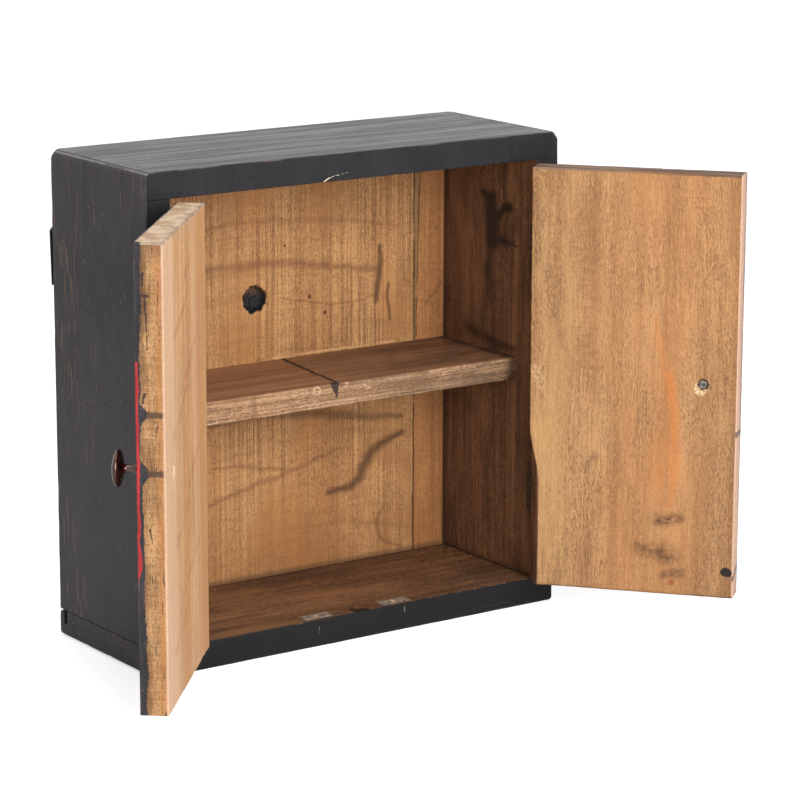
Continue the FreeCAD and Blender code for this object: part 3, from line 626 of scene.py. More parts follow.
rightMarks = {
    "black": [((0, -0.013, 0.386), (0, -0.017, 0.352), 0.015, -0.3, 0.014, 0.7, 1.0),
              ((0, 0.0, 0.391), (0, -0.016, 0.388), 0.006, -0.8, 0.008, 0.9, 1.0),
              ((0, -0.018, 0.362), (0, -0.034, 0.38), 0.01, 0.35, 0.01, 0.8, 1.0),
              ((0, -0.034, 0.38), (0, -0.043, 0.383), 0.0068, -0.1, 0.008, 0.7, 1.0),
              ((0, -0.014, 0.349), (0, -0.056, 0.346), 0.0105, 0.85, 0.01, 0.9, 1.0)],
    "faint": [((0, -0.009, 0.345), (0, -0.002, 0.25), 0.013, 0.2, 0.02, 1.0, 0.55),
              ((0, -0.009, 0.322), (0, -0.007, 0.316), 0.009, 0.0, 0.012, 0.9, 0.8),
              ((0, 0.022, 0.255), (0, -0.05, 0.244), 0.014, 0.5, 0.02, 1.0, 0.7)],
}


def rightStainsAndShade(p):
    flat = scaled(p, (0, 1, 1))
    fray = ramp(cloud(along(p, 2, 0.4), 160.0, 4.0, 0.65), 0.2, 0.45)
    black = blot(flat, rightMarks["black"])
    faint = blot(flat, rightMarks["faint"])
    mottle = ramp(cloud(along(p, 2, 0.3), 40.0, 5.0, 0.65), 0.46, 0.66) * 0.5
    warm = ramp(cloud(along(p, 2, 0.2), 22.0, 4.0, 0.6), 0.48, 0.66) * 0.5
    # painted shade in the rear and bottom corners of the inner face
    corner = most(ramp(parts(p)[1], 0.055, 0.064), ramp(parts(p)[2], 0.034, 0.026)) * 0.5
    return [(warm, tone(140, 98, 64)), (mottle, tone(52, 35, 24)), (corner, tone(40, 27, 19)),
            (faint * fray, tone(40, 28, 21)), (black * fray * 0.86, tone(24, 19, 18))]


for side, label in ((-1, "left"), (1, "right")):
    low, high = sorted((side * case["inner"], side * case["half"]))
    sideLook = dict(timberGrid, low=(low, case["front"], case["floor"]),
                    high=(high, case["rear"], case["ceiling"]), seed=7.0 + side, close=sideClose, wave=0.00002,
                    rounds={(axis, end, 2, 1): closedJoint for axis in (0, 1) for end in (0, 1)})
    sideWear = {"low": (low, case["front"], -0.1), "high": (high, case["rear"], 0.6),
                "width": 0.0014, "ragged": 0.003, "depth": 0.25, "tone": tone(116, 112, 112)}
    sideTimber = dict(brownTimber, axis=2, seed=7.0 + side, light=tone(138, 97, 66), lineDepth=0.7)
    sideMaterial = boardMaterial(f"{label}_side_paint", sideTimber, sidePaint, sideCover(side),
                                 rightStainsAndShade if side > 0 else None, sideWear)
    sidePiece = boardPiece(f"{label}_side_board_worn", sideLook, sideMaterial, sideShape(side))
    settle(sidePiece, "carcass", "case_boards", f"{label}_side_board")
print("stage: side boards")

# back planks: bandsawn, with an open knot in the middle one
plankTimber = dict(rawTimber, axis=2, wander=0.002, waver=0.0, breaks=0.7, lineDepth=0.75, lineScale=560.0,
                   lineSqueeze=0.006, grit=0.6,
                   dark=tone(170, 122, 76), light=tone(200, 152, 100), warm=tone(190, 128, 74),
                   line=tone(100, 64, 36), poreDepth=0.3, poreScale=620.0, bandScale=150.0)
plankEdges = {"left": (-0.212, -0.1202), "middle": (-0.1202, 0.1639), "right": (0.1642, 0.212)}
knotPlace = Vector((-0.02, 0.3))
plankNails = [((0.042, 0, 0.296), (0.042, 0, 0.295), 0.0024, 0.0, 0.002, 0.5, 1.0),
              ((0.06, 0, 0.2787), (0.06, 0, 0.2777), 0.0024, 0.0, 0.002, 0.5, 1.0),
              ((0.014, 0, 0.348), (0.014, 0, 0.3475), 0.0014, 0.0, 0.001, 0.5, 1.0)]
# stains on the planks' inner faces, the last two deep rows also painted shadow under the shelf: places as x and
# z, half width, depth
plankMarks = {
    "pale": [
        ([(-0.1, 0.333), (-0.071, 0.3335), (-0.04, 0.3334), (-0.006, 0.3327), (0.031, 0.3288),
          (0.069, 0.3222), (0.118, 0.3144)], 0.0085, 0.58),
        ([(-0.1, 0.37), (-0.069, 0.3724), (-0.036, 0.3742), (-0.006, 0.3739), (0.031, 0.3718),
          (0.066, 0.3676), (0.108, 0.3618), (0.147, 0.3547)], 0.005, 0.32),
        ([(0.008, 0.2977), (0.042, 0.2907), (0.069, 0.2854), (0.092, 0.2851), (0.114, 0.2892)], 0.0022, 0.5),
        ([(-0.14, 0.089), (-0.105, 0.098), (-0.072, 0.1061), (-0.044, 0.1131), (-0.019, 0.1195),
          (0.007, 0.1234), (0.033, 0.1299), (0.059, 0.1374), (0.077, 0.1421)], 0.005, 0.5),
        ([(-0.07, 0.141), (-0.04, 0.14), (-0.01, 0.133), (0.02, 0.128)], 0.004, 0.45),
        ([(0.128, 0.0763), (0.121, 0.0658), (0.12, 0.055), (0.124, 0.0443), (0.133, 0.0369), (0.145, 0.0337)],
         0.0042, 0.5),
        ([(0.197, 0.292), (0.19, 0.284), (0.179, 0.2753)], 0.0045, 0.6),
    ],
    "deep": [
        ([(0.124, 0.3371), (0.124, 0.3194), (0.121, 0.3), (0.119, 0.2831)], 0.0062, 0.85),
        ([(0.133, 0.2987), (0.132, 0.2856), (0.136, 0.2637)], 0.0042, 0.75),
        ([(0.062, 0.1), (0.082, 0.1005), (0.092, 0.1025), (0.099, 0.1082), (0.103, 0.1176), (0.108, 0.1261),
          (0.115, 0.1341), (0.125, 0.1395), (0.137, 0.1438), (0.15, 0.1474)], 0.0108, 0.85),
        # these two rows under the shelf are partly stain and partly the shelf's painted shadow
        ([(-0.071, 0.184), (-0.018, 0.1861), (0.038, 0.1822), (0.111, 0.1684), (0.149, 0.1648)], 0.0085, 0.6),
        ([(0.05, 0.206), (0.1, 0.203), (0.15, 0.196)], 0.014, 0.5),
    ],
}


def plankStainsAndShade(p):
    x, y, z = parts(p)
    flat = scaled(p, (1, 0, 1))
    fray = ramp(cloud(along(p, 2, 0.12), 420.0, 3.0, 0.65), 0.1, 0.5)
    arc = z + x * x * 0.9
    bowed = p.node("ShaderNodeCombineXYZ", {}, {0: x * 0.03, 1: 0.0, 2: arc})
    saw = ramp(cloud(bowed, 120.0, 5.0, 0.7), 0.48, 0.72) * 0.4
    weave = ramp(cloud(scaled(p, (0.08, 1.0, 1.0)), 420.0, 3.0, 0.7), 0.5, 0.64) * 0.26
    ruddy = ramp(cloud(scaled(p, (1.0, 1.0, 0.5)), 17.0, 5.0, 0.6), 0.5, 0.68) * 0.35
    patches = ramp(cloud(scaled(p, (1.0, 1.0, 0.6)), 13.0, 4.0), 0.46, 0.66) * 0.5
    # painted shade: darker toward the floor and in the shelf's shadow to the right
    low = ramp(z, 0.13, 0.03) * ramp(cloud(p, 15.0, 3.0), 0.3, 0.6) * 0.4
    low = most(low, ramp(z, 0.2, 0.12) * ramp(x, 0.03, 0.13) * ramp(cloud(p, 18.0, 4.0), 0.34, 0.6) * 0.45)
    # painted shade: darker under the top board
    high = ramp(z, 0.4, 0.433) * 0.35
    stained = {}
    for depth, marks in plankMarks.items():
        found = [trail(flat, spots, width, 0.006) * strength for spots, width, strength in marks]
        stained[depth] = strongest(found)
    nails = blot(flat, plankNails)
    drift = x + (cloud(along(p, 2, 0.3), 60.0, 4.0, 0.7) - 0.5) * 0.004
    strip = ramp(z, 0.24, 0.43) * 0.004 + 0.1668
    gap = drift - strip
    grey = ramp(gap, 0.0006, -0.0006) * ramp(x, 0.1638, 0.1644) * ramp(z, 0.236, 0.244)
    seam = ramp(away(gap), 0.0011, 0.0004) * ramp(z, 0.236, 0.244)
    seam = seam * ramp(cloud(p, 70.0, 4.0, 0.7), 0.36, 0.5)
    joint = ramp(away(drift, 0.1641), 0.0014, 0.0005) * ramp(cloud(p, 50.0, 4.0, 0.7), 0.28, 0.5)
    seam = most(seam, joint)
    ledge = streak(flat, (0.0, 0, 0.2405), (0.14, 0, 0.2408), 0.0016, 0.0, 0.003, 0.6)
    ledge = ledge * ramp(cloud(along(p, 0, 0.3), 90.0, 3.0), 0.4, 0.6)
    # painted shade along the creases with the floor and the right side
    creaseShade = most(ramp(z, 0.033, 0.027), ramp(x, 0.1975, 0.2)) * 0.6
    above, below = (knotPlace.x, 0, knotPlace.y + 0.001), (knotPlace.x, 0, knotPlace.y - 0.001)
    knot = streak(flat, above, below, 0.0165, 0.0, 0.006, 0.25)
    knot = knot * ramp(y, 0.06425, 0.0655) * ramp(y, 0.0752, 0.0744)
    brown = mixed(ramp(z, 0.299, 0.312), tone(20, 19, 21), tone(88, 62, 42))
    inner = ramp(y, 0.07, 0.066)
    fray = fray * inner
    return [(patches, tone(152, 102, 58)), (ruddy, tone(176, 114, 62)), (most(saw, weave), tone(118, 78, 46)),
            (low, tone(134, 86, 46)), (high, tone(112, 76, 46)),
            (stained["pale"] * fray, tone(108, 68, 42)), (stained["deep"] * fray, tone(76, 48, 31)),
            (nails * inner, tone(86, 46, 28)), (grey * inner * 0.6, tone(122, 98, 66)),
            (seam * 0.75, tone(48, 33, 22)), (ledge * inner * 0.7, tone(200, 158, 108)),
            (creaseShade, tone(66, 44, 28)), (knot, brown)]


def knotShape(p):
    reach = Vector((p.x, p.z)) - knotPlace
    turn = Vector((reach.x, reach.y, 0.0))
    turn.normalize()
    edge = 0.0122 * (1.0 + 0.16 * noise.noise(turn * 2.1) + 0.14 * noise.noise(turn * 5.0))
    if p.y < 0.0665 and reach.length < edge * 1.15:
        rough = 0.8 + 0.25 * noise.noise(Vector((p.x * 220, p.z * 220, 0)))
        p.y += 0.0088 * smooth((1.12 - reach.length / edge) / 0.3) * rough
    return p


for label, (first, last) in plankEdges.items():
    plankLook = dict(timberGrid, low=(first, 0.064, 0.014), high=(last, 0.076, 0.445), seed=11.0 + 40 * first,
                     wave=0.00035, round=0.0007, rim=0.0014, knocks=8)
    timber = dict(plankTimber, seed=11.0 + 40 * first)
    if label == "middle":
        plankLook["close"] = {0: [(-0.037, -0.003, 0.0011)], 2: [(0.283, 0.317, 0.0011)]}
    if label == "right":
        timber = dict(timber, dark=tone(150, 100, 58), light=tone(182, 128, 78), warm=tone(168, 106, 60),
                      warmth=0.5, lineDepth=0.65, wander=0.006)
    plankMaterial = boardMaterial(f"back_{label}_timber", timber, None, None, plankStainsAndShade)
    plankPiece = boardPiece(f"back_plank_{label}_sawn", plankLook, plankMaterial,
                            knotShape if label == "middle" else None)
    settle(plankPiece, "carcass", "back_planks", f"back_plank_{label}")
print("stage: back planks")

# shelf: top drawn darker brown, partly wood colour and partly painted shade, lighter front edge
shelfLook = dict(timberGrid, low=(-0.2058, -0.055, 0.217), high=(0.2058, 0.064, 0.239), seed=17.0)
shelfTimber = dict(rawTimber, axis=0, seed=17.0, lineDepth=0.8, dark=tone(146, 110, 78),
                   light=tone(206, 171, 134), warm=tone(190, 140, 96), line=tone(88, 60, 40),
                   lineScale=430.0, lineSqueeze=0.012, breaks=0.5, poreDepth=0.3, grit=0.5)


def shelfStainsAndShade(p):
    x, _, z = parts(p)
    ragged = (cloud(p, 120.0, 3.0, 0.6) - 0.5) * 0.003
    top = ramp(z + ragged, 0.2376, 0.2388)
    # the top's darker brown is partly the wood's colour and partly painted shade
    shadedBrown = ramp(cloud(along(p, 0, 0.03), 110.0, 4.0, 0.6), 0.34, 0.62)
    shadedBrown = mixed(shadedBrown, tone(130, 90, 62), tone(160, 114, 80))
    rim = ramp(z + ragged * 1.5, 0.2335, 0.239) * ramp(cloud(p, 45.0, 3.0), 0.42, 0.6) * 0.7
    rim = most(rim, ramp(z - ragged * 1.5, 0.2195, 0.217) * ramp(cloud(p, 38.0, 3.0), 0.42, 0.6) * 0.7)
    # painted shade: the shelf darker toward the right and at its right end
    rightShade = ramp(x, -0.05, 0.15) * 0.66 * ramp(cloud(along(p, 0, 0.4), 40.0, 4.0, 0.65), 0.2, 0.6)
    rightShade = rightShade + ramp(x, 0.185, 0.196) * 0.5
    line = streak(scaled(p, (1, 1, 0)), (0.0102, 0.068, 0), (-0.0055, -0.056, 0), 0.0034, 0.0, 0.006, 0.7) * top
    wedge = streak(p, (-0.0085, -0.055, 0.239), (-0.0065, -0.055, 0.2255), 0.0062, 0.85, 0.003, 0.4)
    smear = streak(p, (-0.098, -0.055, 0.237), (-0.096, -0.055, 0.222), 0.005, 0.3, 0.006, 0.8) * 0.55
    rings = []
    for across, up, size in ((-0.0285, 0.2345, 0.0035), (0.0285, 0.2335, 0.0035), (0.004, 0.2365, 0.002)):
        gap = vector("DISTANCE", p, (across, -0.055, up), 1) + (cloud(p, 500.0, 2.0) - 0.5) * 0.003
        rings.append(ramp(away(gap, size), 0.0012, 0.0004) * ramp(cloud(p, 300.0, 2.0), 0.4, 0.56))
    rings = strongest(rings) * 0.6
    return [(rim, tone(120, 84, 54)), (top, shadedBrown), (rightShade, tone(66, 44, 29)), (rings, tone(206, 176, 140)),
            (smear, tone(110, 78, 52)), (line, tone(40, 29, 22)), (wedge, tone(52, 38, 32))]


shelfMaterial = boardMaterial("shelf_timber", shelfTimber, None, None, shelfStainsAndShade)
shelfPiece = boardPiece("shelf_worn", shelfLook, shelfMaterial)
settle(shelfPiece, "carcass", "shelf_board", "shelf")
print("stage: shelf")

# doors, made shut and then swung open about their hinge pins
doors = {
    "left": {"side": -1, "open": math.radians(-131.5), "seed": 23.0},
    "right": {"side": 1, "open": math.radians(130.3), "seed": 29.0},
}
knobHeight = 0.23325
knobIn = 0.0345
doorFront, doorBack = -0.084, -0.059
doorLow, doorHigh = 0.0285, 0.431
meetEdge, hingeEdge = 0.0015, 0.1988
pinPlace = Vector((0.1994, -0.0872, 0.0))
wane = {"width": 0.008, "depth": 0.011, "full": 0.1265, "runout": 0.062}


def swing(door):
    pin = Vector((door["side"] * pinPlace.x, pinPlace.y, pinPlace.z))
    return Matrix.Translation(pin) @ Matrix.Rotation(door["open"], 4, "Z") @ Matrix.Translation(-pin)


def doorShape(side):
    def shape(p):
        if inLeafSeat(p):
            p.x = side * min(side * p.x, leafSeat["door"])
        far = side * p.x
        if side > 0:
            full = smooth(1.0 - (p.z - wane["full"]) / wane["runout"])
            full = full * (1.0 + 0.1 * noise.noise(Vector((p.z * 60, 0, 3))))
            if full > 0.01:
                wide, deep = wane["width"] * full, wane["depth"] * full
                part = (hingeEdge - far) / wide + (doorBack - p.y) / deep
                if part < 1:
                    p.x -= (1 - part) / 2 * wide
                    p.y -= (1 - part) / 2 * deep
        reach = Vector((far - knobIn, p.z - knobHeight))
        turn = Vector((reach.x, reach.y, 0.0))
        turn.normalize()
        edge = 0.0050 * (1.0 + 0.2 * noise.noise(turn * 2.3 + Vector((side, 0, 0))))
        if p.y > doorBack - 0.002 and reach.length < edge * 1.2:
            p.y -= 0.0039 * smooth((1.15 - reach.length / edge) / 0.35)
        return p
    return shape


doorTimber = {
    "left": dict(rawTimber, axis=2, seed=23.0, dark=tone(180, 138, 97), light=tone(208, 170, 130),
                 warm=tone(200, 152, 104), poreDepth=0.25, lineDepth=0.35, warmth=0.4, bandScale=140.0),
    "right": dict(rawTimber, axis=2, seed=29.0, dark=tone(146, 106, 68), light=tone(184, 141, 96),
                  warm=tone(180, 124, 75), line=tone(94, 62, 38), poreDepth=0.56, lineDepth=0.5, warmth=0.5,
                  lineScale=700.0, lineSqueeze=0.04, wander=0.014, waver=4.0, grit=0.5, poreScale=1300.0,
                  poreSqueeze=0.15),
}
barLevels = (0.2871, 0.2375)


def doorCover(side):
    def cover(p):
        x, y, z = parts(p)
        far = x * side
        ragged = cloud(scaled(p, (1.0, 1.0, 0.45)), 90.0, 4.0, 0.65) - 0.5
        fine = cloud(p, 420.0, 2.0, 0.6) - 0.5
        front = ramp(y + ragged * 0.0016, doorFront + 0.0022, doorFront + 0.0012)
        lap = 0.0058 if side < 0 else 0.003
        flare = 0.0
        if side < 0:
            for level in barLevels:
                flare = ramp(away(z, level), 0.012, 0.0) * 0.006 + flare
            flare = flare - ramp(away(z, 0.29), 0.07, 0.03) * 0.0018
            flare = flare + ramp(z, 0.13, 0.1) * 0.0014
        band = y - doorFront + ragged * 0.008 + fine * 0.003 - flare
        band = ramp(band, lap + 0.0006, lap - 0.0006) * ramp(far, 0.004, 0.0034)
        red = ramp(away(z, 0.233) + ragged * 0.006, 0.099, 0.098)
        red = red * ramp(far + ragged * 0.006, 0.0485, 0.0475)
        reach = 0.0022
        if side < 0:
            reach = ramp(away(z, 0.24), 0.03, 0.0) * 0.0014 + 0.0028
            reach = reach + ramp(away(z, 0.16), 0.018, 0.0) * 0.0016
        redLap = y - doorFront + ragged * 0.006 + fine * 0.002 + ramp(z, 0.16, 0.134) * 0.003
        redLap = ramp(redLap - reach, 0.0, -0.0006)
        scuffed = ramp(cloud(p, 75.0, 4.0, 0.7), 0.66, 0.74)
        red = red * redLap * (1.0 - scuffed * 0.8)
        worn = mixed(ramp(fine * 0.4 + ragged, -0.12, 0.14), tone(148, 38, 40), tone(178, 50, 50))
        return [most(front, band), (red, worn)]
    return cover


# marks on the doors: nick and cross on the meeting edges as y and z, the others on the inner faces as x and z
doorMarks = {
    "nick": [((0, -0.0795, 0.387), (0, -0.0725, 0.387), 0.0017, 0.0, 0.003, 0.5, 1.0),
             ((0, -0.0745, 0.386), (0, -0.073, 0.342), 0.0012, 0.4, 0.005, 0.5, 1.0),
             ((0, -0.0755, 0.405), (0, -0.077, 0.395), 0.0014, 0.5, 0.004, 0.5, 1.0),
             ((0, -0.076, 0.305), (0, -0.0775, 0.293), 0.0017, 0.5, 0.004, 0.5, 1.0),
             ((0, -0.0735, 0.19), (0, -0.0715, 0.178), 0.0014, 0.5, 0.004, 0.5, 1.0)],
    "scar": [((-across, 0, up), (-across - 0.06, 0, up + 0.026), 0.0085, 0.5, 0.02, 1.0, 1.0)
             for across, up in ((0.04, 0.075), (0.1, 0.12), (0.05, 0.165), (0.11, 0.205), (0.04, 0.262),
                                (0.1, 0.3), (0.05, 0.345), (0.09, 0.385))],
    "cross": [((0, doorFront, 0.187), (0, doorBack, 0.187), 0.0035, 0.0, 0.003, 0.4, 1.0),
              ((0, doorFront, 0.058), (0, doorBack, 0.048), 0.0035, 0.0, 0.003, 0.4, 1.0)],
    "amber": [((0.079, 0, 0.292), (0.0665, 0, 0.235), 0.007, -0.2, 0.012, 1.0, 0.34),
              ((0.0665, 0, 0.24), (0.0615, 0, 0.2), 0.0085, -0.2, 0.008, 1.0, 0.5),
              ((0.0615, 0, 0.205), (0.058, 0, 0.155), 0.0085, -0.1, 0.006, 1.0, 0.58),
              ((0.058, 0, 0.16), (0.062, 0, 0.115), 0.011, 0.4, 0.012, 1.0, 0.4),
              ((0.075, 0, 0.17), (0.08, 0, 0.12), 0.018, 0.3, 0.02, 1.0, 0.25)],
    "smoke": [((0.054, 0, 0.104), (0.074, 0, 0.1005), 0.0105, 0.1, 0.01, 1.0, 1.0),
              ((0.064, 0, 0.0665), (0.09, 0, 0.072), 0.019, 0.3, 0.012, 1.0, 0.9),
              ((0.053, 0, 0.05), (0.066, 0, 0.0475), 0.011, 0.3, 0.01, 1.0, 0.9),
              ((0.136, 0, 0.157), (0.142, 0, 0.149), 0.009, 0.2, 0.012, 1.0, 0.6)],
    "shade": [((0.145, 0, 0.4), (0.14, 0, 0.22), 0.02, 0.4, 0.02, 0.98, 0.35),
              ((0.01, 0, 0.42), (0.012, 0, 0.36), 0.012, 0.5, 0.015, 0.98, 0.55)],
}


def leftDoorStains(p, far, edge, inside, top):
    _, y, z = parts(p)
    fibre = cloud(along(p, 2, 0.1), 520.0, 4.0, 0.65)
    hatch = cloud(along(p, 1, 0.06), 600.0, 3.0, 0.6)
    mottle = cloud(along(p, 2, 0.35), 55.0, 4.0, 0.6)
    raw = ramp(mottle * 0.5 + fibre * 0.3 + hatch * 0.2, 0.38, 0.62)
    raw = mixed(raw, tone(120, 83, 50), tone(190, 146, 99))
    peck = ramp(cloud(along(p, 2, 0.7), 780.0, 2.0, 0.6), 0.5, 0.6) * ramp(mottle, 0.3, 0.6)
    amber = ramp(y + (mottle - 0.5) * 0.01, -0.068, -0.064) * ramp(y, -0.0606, -0.0616)
    smudge = ramp(y + (mottle - 0.5) * 0.012, -0.0715, -0.0785) * (ramp(z, 0.3, 0.42) * 0.5 + 0.3)
    smudge = most(smudge, ramp(z + (mottle - 0.5) * 0.02, 0.412, 0.43) * 0.5)
    bands = []
    for level in barLevels:
        gap = away(z, level) + (fibre - 0.5) * 0.003 - ramp(y, -0.07, -0.08) * 0.003
        bands.append(ramp(gap, 0.0032, 0.0018))
    dashes = ramp(fibre, 0.55, 0.64) * ramp(cloud(along(p, 2, 0.4), 60.0, 3.0), 0.42, 0.58)
    nick = blot(scaled(p, (0, 1, 1)), doorMarks["nick"])
    drift = far + (cloud(along(p, 2, 0.08), 30.0, 3.0) - 0.5) * 0.03
    pale = most(ramp(drift, 0.062, 0.04) * 0.55, ramp(away(drift, 0.15), 0.016, 0.006) * 0.45)
    tan = ramp(cloud(along(shifted(p, (3.1, 0, 0)), 2, 0.012), 45.0, 3.0, 0.6), 0.48, 0.62)
    tan = tan * inside * ramp(drift, 0.05, 0.08)
    feather = ramp(cloud(along(p, 2, 0.15), 200.0, 4.0, 0.65), 0.35, 0.6)
    scar = blot(scaled(p, (1, 0, 1)), doorMarks["scar"]) * feather
    arris = ramp(far, 0.0034, 0.0015) * ramp(y, -0.0625, -0.06)
    arris = arris * ramp(cloud(along(p, 2, 0.1), 60.0, 3.0), 0.3, 0.5)
    rim = arrisGap(p, (-hingeEdge, doorFront, doorLow), (-meetEdge, doorBack, doorHigh))
    rim = ramp(rim + (cloud(p, 130.0, 3.0) - 0.5) * 0.006, 0.0032, 0.0008)
    cream = mixed(ramp(cloud(p, 60.0, 3.0, 0.6), 0.4, 0.6), tone(170, 140, 112), tone(204, 178, 148))
    return [(edge, raw), (edge * peck * 0.5, tone(66, 46, 32)), (edge * amber * 0.45, tone(170, 108, 56)),
            (edge * smudge, tone(78, 52, 34)), (edge * strongest(bands) * 0.88, tone(72, 53, 41)),
            (edge * dashes * 0.85, tone(52, 38, 31)), (nick * edge * 0.85, tone(40, 33, 34)),
            (pale * inside, tone(206, 172, 144)), (tan * 0.5, tone(176, 122, 72)),
            (scar * inside * 0.62, tone(140, 92, 53)), (arris * 0.3, tone(214, 178, 148)),
            (top, cream), (top * rim * 0.6, tone(118, 104, 94))]


def rightDoorStains(p, far, edge, inside, top):
    _, y, z = parts(p)
    flat = scaled(p, (1, 0, 1))
    sawn = ramp(cloud(along(p, 0, 0.1), 120.0, 4.0), 0.4, 0.62)
    sawn = mixed(sawn, tone(92, 70, 56), tone(132, 104, 82))
    rim = ramp(y - doorFront, 0.013, 0.006) * ramp(cloud(along(p, 2, 0.2), 70.0, 3.0), 0.3, 0.6)
    foot = ramp(z, 0.0315, 0.0292)
    cross = blot(scaled(p, (0, 1, 1)), doorMarks["cross"])
    wavy = far + (cloud(along(p, 2, 0.25), 14.0, 3.0) - 0.5) * 0.05
    glow = ramp(wavy, 0.16, 0.11) * ramp(wavy, 0.02, 0.06)
    glow = glow * ramp(cloud(along(p, 2, 0.3), 26.0, 4.0, 0.6), 0.3, 0.6)
    straw = ramp(wavy, 0.15, 0.175) * ramp(cloud(along(p, 2, 0.12), 60.0, 4.0, 0.65), 0.38, 0.62)
    amber = blot(flat, doorMarks["amber"]) * ramp(cloud(along(p, 2, 0.1), 300.0, 4.0, 0.65), 0.25, 0.6)
    smoke = blot(flat, doorMarks["smoke"]) * ramp(cloud(along(p, 2, 1.6), 120.0, 6.0, 0.75), 0.25, 0.68)
    figure = ramp(cloud(along(shifted(p, (0, 0, 5.0)), 0, 0.35), 300.0, 2.0), 0.45, 0.6)
    figure = figure * streak(flat, (0.15, 0, 0.38), (0.14, 0, 0.25), 0.022, 0.0, 0.02, 1.0)
    rust = streak(flat, (0.06, 0, 0.041), (0.06, 0, 0.0405), 0.0042, 0.0, 0.003, 0.6)
    speck = streak(flat, (0.1275, 0, 0.056), (0.1275, 0, 0.0545), 0.002, 0.0, 0.003, 0.6)
    burn = streak(p, (0.0095, doorBack, 0.0545), (0.0065, doorBack, 0.0535), 0.0046, 0.0, 0.002, 0.2)
    shade = blot(flat, doorMarks["shade"])
    pale = streak(flat, (0.195, 0, 0.239), (0.186, 0, 0.224), 0.0095, 0.2, 0.01, 0.7)
    pale = pale * ramp(cloud(p, 420.0, 3.0, 0.7), 0.44, 0.56)
    full = ramp(z, 0.19, wane["full"])
    bark = (hingeEdge - far) / wane["width"] + (doorBack - y) / wane["depth"]
    bark = bark / (full + 0.01) + (cloud(p, 160.0, 2.0) - 0.5) * 0.12
    bark = ramp(bark, 1.25, 1.1) * ramp(full, 0.02, 0.1) * ramp(y, -0.0735, -0.0715)
    rind = ramp(cloud(along(p, 2, 0.06), 260.0, 4.0, 0.6), 0.4, 0.6)
    return [(top, sawn), (edge * 0.8, tone(208, 172, 148)), (rim * edge * 0.8, tone(132, 108, 100)),
            (foot * 0.7, tone(84, 58, 40)), (cross * edge * 0.85, tone(92, 76, 74)),
            (glow * inside * 0.34, tone(192, 131, 80)), (straw * inside * 0.5, tone(196, 155, 102)),
            (amber * inside, tone(198, 112, 44)), (smoke * inside, tone(72, 46, 32)),
            (figure * inside * 0.4, tone(132, 84, 50)), (rust * inside * 0.8, tone(142, 72, 48)),
            (speck * inside * 0.7, tone(128, 72, 46)), (burn * 0.97, tone(24, 22, 23)),
            (shade * inside, tone(146, 102, 66)), (pale * inside * 0.55, tone(206, 172, 128)),
            (bark, mixed(rind, tone(58, 38, 28), tone(112, 76, 52)))]


def doorStains(side):
    own = leftDoorStains if side < 0 else rightDoorStains

    def stains(p):
        x, y, z = parts(p)
        far = x * side
        inside = ramp(y, doorBack - 0.0022, doorBack - 0.0012)
        found = own(p, far, ramp(far, 0.0034, 0.0026), inside, ramp(z, 0.4285, 0.4295))
        middle = side * (knobIn + 0.0015)
        upper, lower = (middle, 0, knobHeight - 0.003), (middle, 0, knobHeight - 0.005)
        splinter = streak(scaled(p, (1, 0, 1)), upper, lower, 0.0072, 0.0, 0.006, 0.4)
        splinter = splinter * ramp(cloud(p, 620.0, 3.0, 0.6), 0.42, 0.54) * inside
        hole = ramp(y, doorBack - 0.0012, doorBack - 0.003) * ramp(y, -0.066, -0.064)
        hole = hole * ramp(away(z, knobHeight), 0.0085, 0.0075) * ramp(away(far, knobIn), 0.0085, 0.0075)
        splinterDepth = 0.45 if side < 0 else 0.85
        return found + [(splinter * splinterDepth, tone(226, 198, 158)), (hole, tone(58, 40, 29))]
    return stains


for label, door in doors.items():
    side = door["side"]
    low, high = sorted((side * meetEdge, side * hingeEdge))
    doorLook = dict(timberGrid, low=(low, doorFront, doorLow), high=(high, doorBack, doorHigh),
                    seed=door["seed"], knocks=30, knock=0.0018)
    knobSpan = (side * knobIn - 0.0085, side * knobIn + 0.0085, 0.00095)
    doorLook["close"] = {0: [knobSpan], 1: sideClose[1],
                         2: sideClose[2] + [(knobHeight - 0.0085, knobHeight + 0.0085, 0.00095)]}
    if side > 0:
        doorLook["close"][0].append((0.1865, 0.1985, 0.0012))
        doorLook["close"][1] = sideClose[1] + [(-0.072, -0.0595, 0.0015)]
    doorPaint = dict(charcoal, axis=2, seed=door["seed"])
    doorWear = {"low": doorLook["low"], "high": doorLook["high"], "width": 0.0018, "ragged": 0.003,
                "depth": 0.4, "tone": tone(124, 112, 104)}
    doorMaterial = boardMaterial(f"{label}_door_paint", doorTimber[label], doorPaint, doorCover(side),
                                 doorStains(side), doorWear)
    doorPiece = boardPiece(f"{label}_door_worn", doorLook, doorMaterial, doorShape(side), swing(door))
    settle(doorPiece, f"{label}_door", "door_boards", f"{label}_door_panel")
print("stage: doors")

# turned knobs
knobLook = {"rings": 64, "profile": [(0.0, 0.0065), (0.0008, 0.0069), (0.0022, 0.0066), (0.0036, 0.0054),
                                     (0.0054, 0.0042), (0.0085, 0.0034), (0.0130, 0.0032), (0.0162, 0.0038),
                                     (0.0178, 0.0052), (0.0184, 0.0085), (0.0188, 0.0122), (0.0196, 0.0147),
                                     (0.0207, 0.0158), (0.0220, 0.0159), (0.0233, 0.0150), (0.0245, 0.0127),
                                     (0.0255, 0.0094), (0.0262, 0.0058), (0.0267, 0.0024), (0.0269, 0.0)]}


def metalMaterial(name, look):
    material, shader, p = newMaterial(name)
    cloudy = cloud(p, look["scale"], 4.0, 0.6)
    fine = cloud(p, look["scale"] * 6.0, 3.0, 0.6)
    patina = ramp(cloudy * 0.7 + fine * 0.3, 0.4, 0.62)
    feed(shader, "Base Color", mixed(patina, look["dark"], look["light"]))
    feed(shader, "Roughness", look["rough"] + (1.0 - patina) * look["spread"])
    feed(shader, "Metallic", look["metal"] - (1.0 - patina) * 0.2)
    feed(shader, "Normal", bump(fine, look["relief"], 0.0003))
    return material


